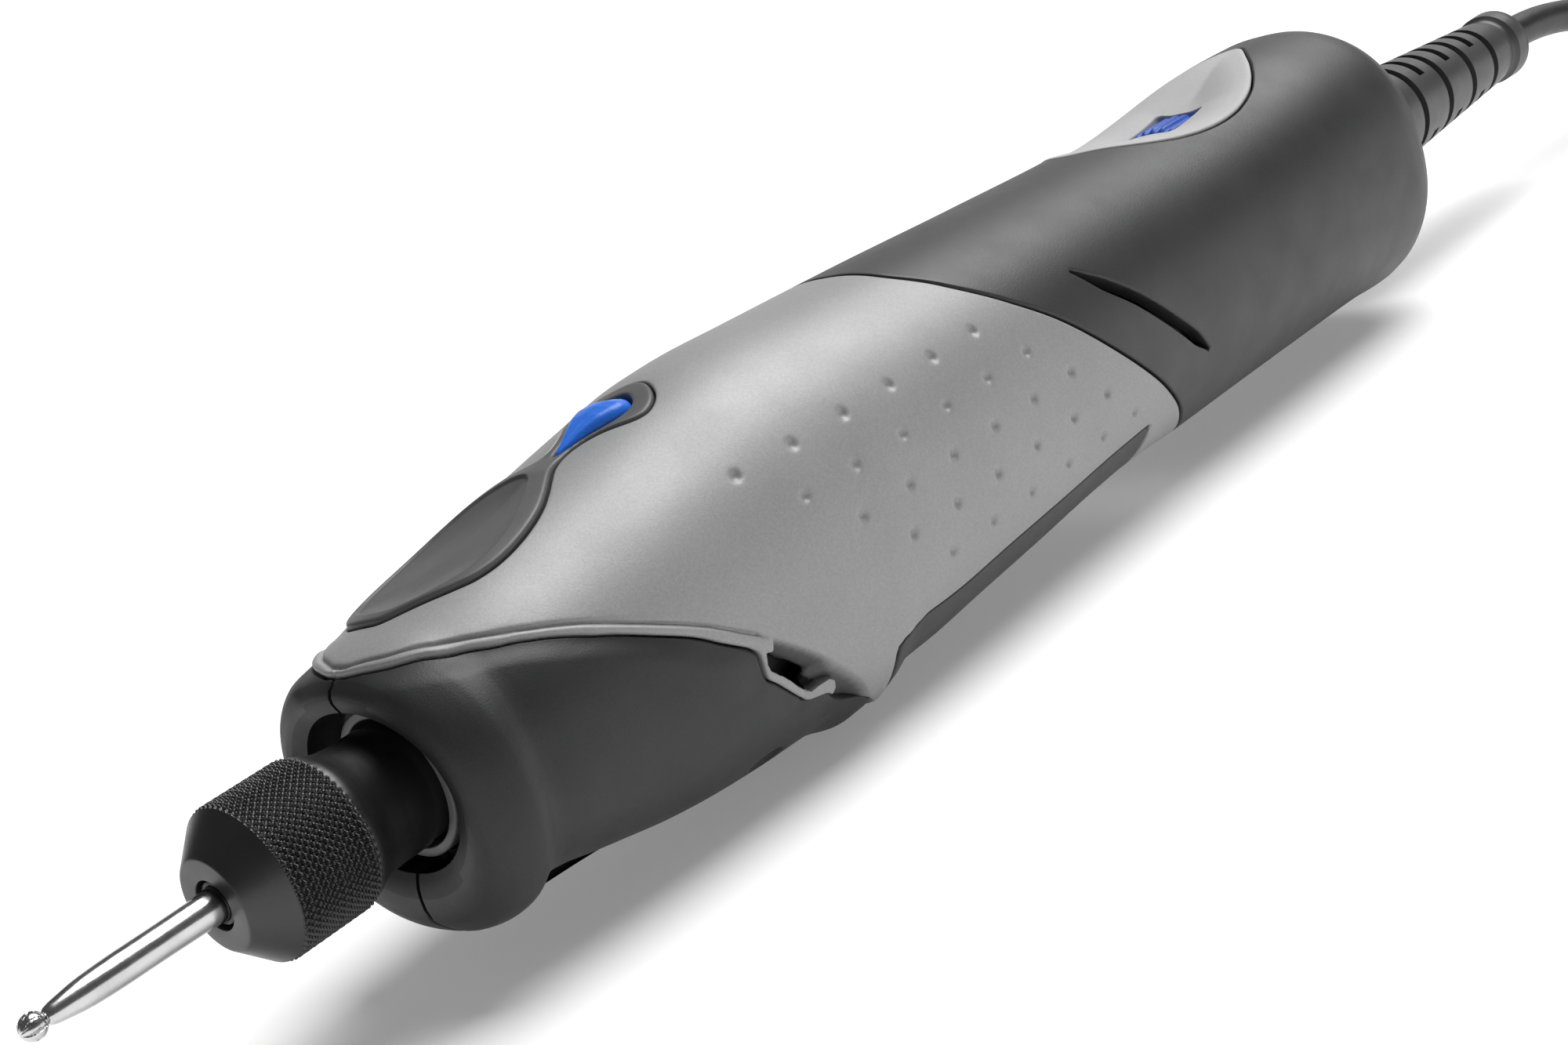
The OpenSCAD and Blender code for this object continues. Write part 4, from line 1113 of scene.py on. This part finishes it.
# ---------------------------------------------------------------- rear housing
BEZ = [(156.0, 0), (156.4, 1.5), (157.2, 2.9), (158.3, 4.6), (159.6, 6.4), (162, 8.3), (165, 9.8), (168.3, 10.7), (171.7, 11.15), (174.6, 11.25), (177.5, 11.1), (180.8, 10.5),
       (184, 9.6), (187.3, 8.1), (190.5, 6.2), (193.4, 4.1), (195.6, 2.6), (197.4, 1.3), (198.2, 0)]


def egg_loop(tab, grow=0.0, n=200):
    p = np.array(tab, float)
    both = np.vstack([p, p[-2:0:-1] * [1, -1]])
    both = np.vstack([both, both[:1]])
    s = np.concatenate([[0], np.cumsum(np.hypot(*np.diff(both, axis=0).T))])
    u = np.linspace(0, s[-1], n + 1)[:-1]
    q = np.stack([np.interp(u, s, both[:, 0]), np.interp(u, s, both[:, 1])], 1)
    for _ in range(6):
        q = (np.roll(q, 1, 0) + 2 * q + np.roll(q, -1, 0)) / 4
    tng = np.roll(q, -1, 0) - np.roll(q, 1, 0)
    nr = np.stack([tng[:, 1], -tng[:, 0]], 1)
    nr /= np.linalg.norm(nr, axis=1, keepdims=True)
    area = 0.5 * np.sum(q[:, 0] * np.roll(q[:, 1], -1) - np.roll(q[:, 0], -1) * q[:, 1])
    q = q + nr * grow * (1 if area > 0 else -1)
    return np.stack([q[:, 0], v_at(q[:, 0], -q[:, 1])], 1)


def v_side(X, z):
    """Distance round on the left side where the skin has this height."""
    u, d = float(T_OF(X)), float(B_OF(X))
    s = (z - (u - d) / 2) / ((u + d) / 2)
    a = math.asin(math.copysign(min(abs(s), 1) ** (1 / EXP), s))
    return float(v_of(math.degrees(pi - a)))


SLOT = [(130.2, 12.2), (133.0, 9.7), (137.7, 6.0), (143.0, 1.1), (149.0, -4.4)]


def slot_loop(side, w=0.82):
    line = np.array([(x, v_side(x, z)) for x, z in SLOT])
    t = np.linspace(0, len(line) - 1, 60)
    line = np.stack([np.interp(t, range(len(line)), line[:, 0]), np.interp(t, range(len(line)), line[:, 1])], 1)
    for _ in range(8):
        line[1:-1] = (line[:-2] + 2 * line[1:-1] + line[2:]) / 4
    tn = np.gradient(line, axis=0)
    nr = np.stack([-tn[:, 1], tn[:, 0]], 1)
    nr /= np.linalg.norm(nr, axis=1, keepdims=True)
    ww = np.minimum(w, 0.18 + 2.2 * np.minimum(np.arange(60), np.arange(60)[::-1] * 3) / 59.0)
    a = line + nr * ww[:, None]
    b = line - nr * ww[:, None]
    loop = np.vstack([a, b[::-1]])
    return loop * [1, side]


X_END = 205.6
V_END = np.linspace(-HALF, HALF, 241)


def rear_loop():
    gp = 0.22
    seam = [(float(SEAM(abs(v))) + gp, v) for v in np.linspace(-HALF, HALF, 300)]
    return seam + [(X_END, v) for v in V_END[::-1]]


def rear_open(a, b):
    return at_bottom(a, b) or (abs(a[0] - X_END) < 1e-6 and abs(b[0] - X_END) < 1e-6)


def screw_hole(X, z, r=2.6, n=40):
    c = (X, -v_side(X, z))
    return np.array([(c[0] + r * math.cos(a), c[1] + r * math.sin(a)) for a in np.linspace(0, 2 * pi, n + 1)[:-1]])


def rear_height(X, v, d):
    h = np.zeros_like(X)
    # the housing lies on the skin everywhere; the step round the bezel and the fine lip at the seam are not modelled
    return h


def rear():
    loops = [rear_loop(), egg_loop(BEZ, 0.12), slot_loop(1), slot_loop(-1), screw_hole(158, 0.0), screw_hole(194, 0.0)]
    a = patch(loops, 1.1, rear_height, wall=2.1, rim=0.3, open_edge=rear_open, edge_step=0.5)
    # round rear end, and the wall with the hole for the strain relief
    n = len(V_END)
    rows = []
    for x in np.concatenate([np.linspace(X_END, 208.8, 12), np.linspace(209.2, 211.5, 12)]):
        rows.append(place(np.full(n, x), V_END))
    lastring = rows[-1]
    th = th_of(V_END)
    tgt = np.stack([np.full(n, 211.75), 8.4 * np.cos(th), 1.5 + 8.4 * np.sin(th)], 1)
    for t in np.linspace(0, 1, 9)[1:]:
        q = lastring * (1 - t) + tgt * t
        q[:, 0] = 211.5 + 0.25 * math.sin(t * pi / 2)
        rows.append(q)
    for x, r in [(211.7, 8.15), (211.5, 8.05), (209.4, 8.05)]:
        rows.append(np.stack([np.full(n, x), r * np.cos(th), 1.5 + r * np.sin(th)], 1))
    b = (np.concatenate(rows), grid_faces(len(rows), n))
    return join_parts([a, b])


rear_piece = piece("rear_housing_shell", rear(), M_DARK, "housing", ["rear_housing"], sharp=50, merge=0.004)


# ---------------------------------------------------------------- finger pad with the button's surround
KEY = [(67.7, 0), (68.0, 0.25), (68.9, 0.6), (70.1, 1.0), (71.4, 1.55), (72.8, 2.3), (74.1, 2.85), (75.2, 3.05), (76.2, 2.9), (77.1, 2.35), (77.8, 1.5), (78.25, 0.7), (78.4, 0)]
DISH = [(43.9, 0), (44.3, 0.9), (45.7, 2.5), (47.6, 4.05), (50.1, 5.25), (52.3, 5.5), (54.4, 5.3), (56.9, 4.6), (59.5, 3.4), (61.9, 1.9), (63.9, 0.5), (64.6, -0.6), (64.5, -2.0),
        (63.4, -3.9), (61.6, -5.8), (59.4, -7.3), (57, -8.3), (54.6, -8.8), (52, -8.8), (49.4, -8.3), (47, -7.4), (45.2, -6.2), (44.1, -4.4), (43.7, -2.2)]


def closed_loop(tab, grow=0.0, n=96, smooth=3):
    """Smooth closed outline in (X, y) from the points of one half."""
    p = np.array(tab, float)
    both = p if p[-1, 1] else np.vstack([p, p[-2:0:-1] * [1, -1]])
    both = np.vstack([both, both[:1]])
    t = np.concatenate([[0], np.cumsum(np.hypot(*np.diff(both, axis=0).T))])
    u = np.linspace(0, t[-1], n + 1)[:-1]
    q = np.stack([np.interp(u, t, both[:, 0]), np.interp(u, t, both[:, 1])], 1)
    for _ in range(smooth):
        q = (np.roll(q, 1, 0) + 2 * q + np.roll(q, -1, 0)) / 4
    tng = np.roll(q, -1, 0) - np.roll(q, 1, 0)
    nr = np.stack([tng[:, 1], -tng[:, 0]], 1)
    nr /= np.linalg.norm(nr, axis=1, keepdims=True)
    area = 0.5 * np.sum(q[:, 0] * np.roll(q[:, 1], -1) - np.roll(q[:, 0], -1) * q[:, 1])
    return q + nr * grow * (1 if area > 0 else -1)


def on_skin(q):
    return np.stack([q[:, 0], v_at(q[:, 0], -q[:, 1])], 1)


def drop_loop(gr, n=96):
    return closed_loop(KEY, gr, n, 2)


DISH_LOOP = on_skin(closed_loop(DISH, 0.0, 180, 4))


def pad_height(X, v, d):
    """A wide flat rim, a crisp step down to a smooth dish, and a lower surround behind."""
    p = np.stack([X, v], 1)
    m = inside(p, [DISH_LOOP])
    e = np.zeros(len(X))
    if m.any():
        e[m] = dist_to(p[m], chain(np.vstack([DISH_LOOP, DISH_LOOP[:1]])))
    step_ = np.clip(e / 0.3, 0, 1)
    step_ = step_ * step_ * (3 - 2 * step_)
    h = 0.5 - 0.3 * step_ - 1.05 * (1 - np.exp(-(e / 2.8) ** 1.5))
    h -= 0.3 * np.clip((X - 64.6) / 3, 0, 1)
    return h


def pad_extra():
    q = DISH_LOOP
    t_ = np.roll(q, -1, 0) - np.roll(q, 1, 0)
    n_ = np.stack([-t_[:, 1], t_[:, 0]], 1)
    n_ /= np.linalg.norm(n_, axis=1, keepdims=True)
    area = 0.5 * np.sum(q[:, 0] * np.roll(q[:, 1], -1) - np.roll(q[:, 0], -1) * q[:, 1])
    n_ *= 1 if area > 0 else -1
    return np.vstack([q + n_ * o for o in (-0.12, 0.0, 0.08, 0.16, 0.24, 0.33, 0.46, 0.66)])


drop_hole = drop_loop(0.16)
drop_hole_v = np.stack([drop_hole[:, 0], v_at(drop_hole[:, 0], -drop_hole[:, 1])], 1)
pad_piece = piece("finger_rest", patch([pad_loop(-0.06), drop_hole_v], 0.42, pad_height, wall=2.2, rim=0.4, edge_step=0.3, rows=(0.05, 0.12, 0.2, 0.3, 0.42), inner_step=2.0, extra=pad_extra()),
                  M_DARK2, "housing", ["finger_pad"], sharp=45)


# ---------------------------------------------------------------- lock button
def button():
    n = 120
    o = drop_loop(0.0, n)
    c = np.array([74.2, 0.0])
    rows = []

    def top_z(x, y):
        return np.interp(x, [67.7, 68.6, 69.8, 71.4, 73.0, 74.4, 75.6, 77.2, 78.0, 78.4], [18.85, 19.05, 19.5, 20.2, 20.85, 21.2, 21.25, 20.65, 20.0, 19.4])
    rings_ = [(1.0, 0.0, 0), (1.0, -1.7, 1), (1.0, -0.75, 1), (0.99, -0.5, 1), (0.965, -0.28, 1), (0.925, -0.12, 1), (0.87, -0.03, 1), (0.8, 0.0, 1), (0.7, -0.03, 1),
              (0.58, -0.1, 1), (0.45, -0.15, 1), (0.32, -0.17, 1), (0.2, -0.17, 1), (0.1, -0.16, 1), (0.0, -0.16, 1)]
    for s, dz, mode in rings_:
        q = c + (o - c) * s
        if mode:
            z = top_z(q[:, 0], q[:, 1]) + dz - 0.09 * q[:, 1] ** 2
        else:
            z = np.full(n, 15.9)
        rows.append(np.stack([q[:, 0], q[:, 1], z], 1))
    v = np.concatenate(rows)
    f = grid_faces(len(rows), n, wrap=True)
    f.append(list(range(n))[::-1])
    return v, f


btn = piece("lock_key", button(), M_BLUE, "button", ["lock_button"], sharp=40, merge=0.0005)


# ---------------------------------------------------------------- bezel and speed wheel
BEZ_EDGE = chain(np.vstack([egg_loop(BEZ, -0.08), egg_loop(BEZ, -0.08)[:1]]))


def bez_height(X, v, d):
    d = dist_to(np.stack([X, v], 1), BEZ_EDGE)
    t = np.clip(d / 9.0, 0, 1)
    s = t * t * (3 - 2 * t)
    dish = 3.0 * s * np.interp(X, [156, 161, 168, 174, 182, 190, 198.2], [0.1, 0.45, 0.88, 1.0, 1.0, 0.6, 0.1])
    h = -dish
    h += 0.10 * np.exp(-((d - 0.5) / 0.45) ** 2)
    return h


def wheel_slot():
    x0, x1, hw = 173.8, 181.7, 3.95
    r = 0.9
    out = []
    for cx, cy, a0 in [(x1 - r, hw - r, 0), (x0 + r, hw - r, 90), (x0 + r, -hw + r, 180), (x1 - r, -hw + r, 270)]:
        for a in np.linspace(a0, a0 + 90, 7):
            out.append((cx + r * math.cos(math.radians(a)), cy + r * math.sin(math.radians(a))))
    q = np.array(out)
    return np.stack([q[:, 0], v_at(q[:, 0], -q[:, 1])], 1)


bez = piece("dial_surround", patch([egg_loop(BEZ, -0.08), wheel_slot()], 0.55, bez_height, wall=3.7, rim=0.22, edge_step=0.4, inner_step=1.5),
            M_TRIM, "housing", ["dial_bezel"], sharp=45)


def wheel():
    n = 36 * 10
    a = np.arange(n) * 2 * pi / n
    rib = 0.4 * np.clip(0.5 + 0.9 * np.cos(36 * a), 0, 1)
    rows = []
    for x, r0, k in [(174.1, 3.0, 0), (174.1, 6.9, 0), (174.3, 7.3, 0.2), (174.7, 7.58, 0.7), (175.2, 7.64, 1), (177.7, 7.64, 1), (180.3, 7.64, 1), (180.8, 7.58, 0.7), (181.2, 7.3, 0.2),
                     (181.4, 6.9, 0), (181.4, 3.0, 0), (185.3, 3.0, 0), (185.5, 2.8, 0), (185.5, 0.0, 0)]:
        r = r0 + rib * k
        rows.append(np.stack([np.full(n, x), r * np.cos(a), 8.9 + r * np.sin(a)], 1))
    rows.insert(0, np.stack([np.full(n, 174.1), 0 * a, 8.9 + 0 * a], 1))
    return np.concatenate(rows), grid_faces(len(rows), n, wrap=True)


whl = piece("speed_thumbwheel", wheel(), M_WHEEL, "dial", ["speed_wheel"], sharp=40, merge=0.0005)


# ---------------------------------------------------------------- nut, spindle, burr
def knurl_nut():
    n = 60 * 8
    a = np.arange(n) * 2 * pi / n
    rows = []
    head = rounded([(19.0, 2.2), (17.8, 2.35), (17.8, 4.37), (20.95, 7.32)], [0.12, 0.22], 4)
    for x, r in head:
        rows.append(np.stack([np.full(n, x), r * np.cos(a), r * np.sin(a)], 1))
    xs = np.arange(21.0, 29.61, 0.085)
    pitch = 2 * pi * 7.4 / 60
    for x in xs:
        env = min(1.0, (x - 21.0) / 0.25, (29.6 - x) / 0.25)
        p = (a * 60 / (2 * pi) + (x - 21.0) / pitch * 1.0) % 1.0
        q = (a * 60 / (2 * pi) - (x - 21.0) / pitch * 1.0) % 1.0
        ca, cb = np.abs(p - 0.5) * 2, np.abs(q - 0.5) * 2
        h = np.minimum(1 - ca, 1 - cb)
        h = np.clip(h * 1.45, 0, 1)
        r = 7.5 - 0.4 + 0.4 * (h * env + (1 - env) * 0.3)
        rows.append(np.stack([np.full(n, x), r * np.cos(a), r * np.sin(a)], 1))
    for x, r in rounded([(29.65, 7.22), (30.2, 7.1), (30.8, 6.82), (31.4, 6.52), (32.2, 6.27), (33.2, 6.12), (34.4, 6.04), (37.3, 6.02), (37.35, 5.94), (30.8, 5.94), (30.2, 5.2), (22.0, 5.2), (20.2, 3.8), (19.0, 2.2)], [0.3, 0.3, 0.4, 0.4, 0.4, 0.05, 0.03, 0.05, 0.1, 0.1, 0.1, 0.1], 3):
        rows.append(np.stack([np.full(n, x), r * np.cos(a), r * np.sin(a)], 1))
    return np.concatenate(rows), grid_faces(len(rows), n, wrap=True)


nut = piece("collet_nut_knurled", knurl_nut(), M_BLACK, "nut", ["collet_nut"], sharp=60, merge=0.0005)

prof = rounded([(20.6, 3.4), (20.6, 5.0), (31.1, 5.0), (31.15, 5.7), (31.5, 5.8), (34.2, 5.8), (38.0, 5.8), (40.6, 5.85), (40.6, 5.4), (42.8, 5.4), (42.8, 4.0), (84, 4.0), (84, 1.7), (80.6, 1.7)],
               [0.1, 0.05, 0.1, 0.1, 0.2, 0.3, 0.1, 0.1, 0.1, 0.1, 0.3, 0.1], 3)
spn = piece("spindle_nose", join_parts([turned(prof, 128), turned([(20.6, 3.4), (34.6, 2.62), (34.6, 1.8), (40.5, 1.8), (40.5, 0.001)], 128)]), M_NECK_PAINTED_LIGHT, "rotor", ["spindle"], sharp=40)


def collet_mesh():
    """The collet, with its plain round mouth inside the nut's bore."""
    n = 180
    a = np.arange(n) * 2 * pi / n
    rows = []
    for x, r in [(18.35, 1.62), (18.15, 1.68), (18.1, 1.8), (18.15, 2.0), (18.35, 2.08), (20.2, 2.1), (21.4, 3.2), (34.2, 2.5), (34.2, 1.62), (18.35, 1.62)]:
        rows.append(np.stack([np.full(n, x), r * np.cos(a), r * np.sin(a)], 1))
    return np.concatenate(rows), grid_faces(len(rows), n, wrap=True)


col_ = piece("collet_sleeve", collet_mesh(), M_COLLET, "rotor", ["collet"], sharp=35, merge=0.0005)


def burr_mesh():
    parts = []
    # fluted ball
    n, m_ = 96, 40
    rows = []
    for j in range(m_ + 1):
        ph = pi * j / m_ * 0.86
        x = -1.2 * math.cos(ph)
        rr = 1.2 * math.sin(ph)
        a = np.arange(n) * 2 * pi / n + 0.55 * math.sin(ph)
        w = (a * 8 / (2 * pi)) % 1.0
        tooth = np.where(w < 0.68, 0.0, -0.3 * np.sin((w - 0.68) / 0.32 * pi)) * math.sin(ph)
        r = np.maximum(rr + tooth, 0.0)
        aa = np.arange(n) * 2 * pi / n
        rows.append(np.stack([np.full(n, x), r * np.cos(aa), r * np.sin(aa)], 1))
    r_end = 1.2 * math.sin(pi * 0.86)
    for x, r in [(1.15, 0.62), (1.35, 0.78), (1.9, 0.94), (3.0, 1.11), (4.0, 1.26), (5.0, 1.35), (6.5, 1.42), (8, 1.455), (12, 1.46), (16.0, 1.5), (17.4, 1.56), (17.7, 1.5875), (36.6, 1.5875), (37.0, 1.3), (37.0, 0.0)]:
        aa = np.arange(n) * 2 * pi / n
        rows.append(np.stack([np.full(n, x), r * np.cos(aa), r * np.sin(aa)], 1))
    return np.concatenate(rows), grid_faces(len(rows), n, wrap=True)


bur = piece("ball_burr", burr_mesh(), M_STEEL, "bit", ["burr"], sharp=35, merge=0.0005)


# ---------------------------------------------------------------- strain relief
def relief():
    n = 144
    a = np.arange(n) * 2 * pi / n
    deg = np.degrees(a)
    full = [228.6, 237.6, 246.4, 254.8]
    half = [223.9, 233.2, 242.1, 250.7]
    w = 0.85

    def base(x):
        return np.interp(x, [211.6, 213.0, 235, 260.5, 262.2, 262.8, 263.4, 266.3, 266.8], [7.95, 7.9, 6.5, 4.95, 4.55, 4.6, 5.25, 5.3, 4.95])
    xs = [206.6, 208.8, 208.85, 211.55, 211.6, 212.2, 213.0]
    cuts = []
    for x in full + half:
        cuts += [x - w - 0.06, x - w, x - w + 0.04, x, x + w - 0.04, x + w, x + w + 0.06]
    xs = sorted(set(list(np.arange(213.5, 266.4, 1.1)) + cuts + [262.2, 262.7, 263.0, 263.4, 266.3, 266.6, 266.8]))
    rows = [np.stack([np.full(n, x), r * np.cos(a), 1.5 + r * np.sin(a)], 1) for x, r in [(206.6, 2.6), (206.6, 8.2), (208.7, 8.2), (208.9, 6.9), (211.6, 6.9), (211.75, 7.6), (212.1, 7.95), (213.0, 7.93)]]
    for x in xs:
        r = np.full(n, float(base(x)))
        for c in full:
            if abs(x - c) <= w - 0.02:
                r = np.full(n, 3.3)
        for c in half:
            if abs(x - c) <= w - 0.02:
                # open over two arcs, bridged in the middle of each side
                open_ = (np.abs(((deg - 90 + 180) % 360) - 180) < 52) | (np.abs(((deg - 270 + 180) % 360) - 180) < 52)
                r = np.where(open_, 3.3, r)
        cz = 1.5 if x < 230 else 1.5 - 0.3 * (x - 230) / 37.0
        rows.append(np.stack([np.full(n, x), r * np.cos(a), cz + r * np.sin(a)], 1))
    rows.append(np.stack([np.full(n, 266.8), 2.45 * np.cos(a), 1.3 + 2.45 * np.sin(a)], 1))
    return np.concatenate(rows), grid_faces(len(rows), n, wrap=True)


rel = piece("cord_relief", relief(), M_RELIEF, "housing", ["strain_relief"], sharp=38, merge=0.0005)


# ---------------------------------------------------------------- lock spring
def spring():
    t = np.linspace(0, 4.5, 220)
    r = 2.25
    z0, z1 = 12.35, 16.6
    ends = np.clip(np.minimum(t, 4.5 - t) / 0.8, 0, 1)
    z = z0 + (z1 - z0) * np.cumsum(ends) / ends.sum()
    p = np.stack([75 + r * np.cos(t * 2 * pi), r * np.sin(t * 2 * pi), z], 1)
    return tube_mesh(p, 0.24, 10)


spr = piece("lock_return_spring", spring(), M_STEEL, "housing", ["lock_spring"], sharp=60)


# ---------------------------------------------------------------- stage and light
def sweep():
    """A pale floor that turns up into a backdrop on the far side."""
    away = np.array([0.686, 0.728, 0.0])
    across = np.array([0.728, -0.686, 0.0])
    prof = [(-2.5, 0.0), (-0.6, 0.0), (0.8, 0.0), (2.5, 0.0), (5.0, 0.0)]
    for a in np.linspace(0, 88, 24)[1:]:
        prof.append((5.0 + 4.0 * math.sin(math.radians(a)), 4.0 - 4.0 * math.cos(math.radians(a))))
    wide = np.linspace(-7, 7, 15)
    v = np.array([away * d + across * w + np.array([0, 0, z - 0.00005]) for d, z in prof for w in wide])
    return v, grid_faces(len(prof), len(wide))


mat, nt, b = new_mat("stage_white")
tc = add(nt, "ShaderNodeTexCoord").outputs["Object"]
nt.links.new(ramp(nt, noise(nt, tc, 3.0, 3.0), [(0.3, (0.92, 0.92, 0.92, 1)), (0.7, (0.94, 0.94, 0.94, 1))]), b.inputs["Base Color"])
b.inputs["Roughness"].default_value = 0.9
b.inputs["Specular IOR Level"].default_value = 0.05
b.inputs["Emission Color"].default_value = (1.0, 1.0, 1.0, 1)
b.inputs["Emission Strength"].default_value = 0.22
v, f = sweep()
stage = mesh_object("studio_floor", v, f, mat, 60)

world = bpy.data.worlds.new("studio")
scene.world = world
world.use_nodes = True
bg = world.node_tree.nodes["Background"]
bg.inputs["Color"].default_value = (1.0, 1.0, 1.0, 1)
bg.inputs["Strength"].default_value = 0.10

sun_data = bpy.data.lights.new("overhead", "SUN")
sun_data.energy = 3.8
sun_data.angle = math.radians(50)
sun = bpy.data.objects.new("overhead", sun_data)
scene.collection.objects.link(sun)
sun.rotation_euler = Vector((-0.5, 0.1, -0.86)).to_track_quat("-Z", "Y").to_euler()

scene.view_settings.view_transform = "Standard"
scene.view_settings.look = "None"
scene.view_settings.exposure = 0.0
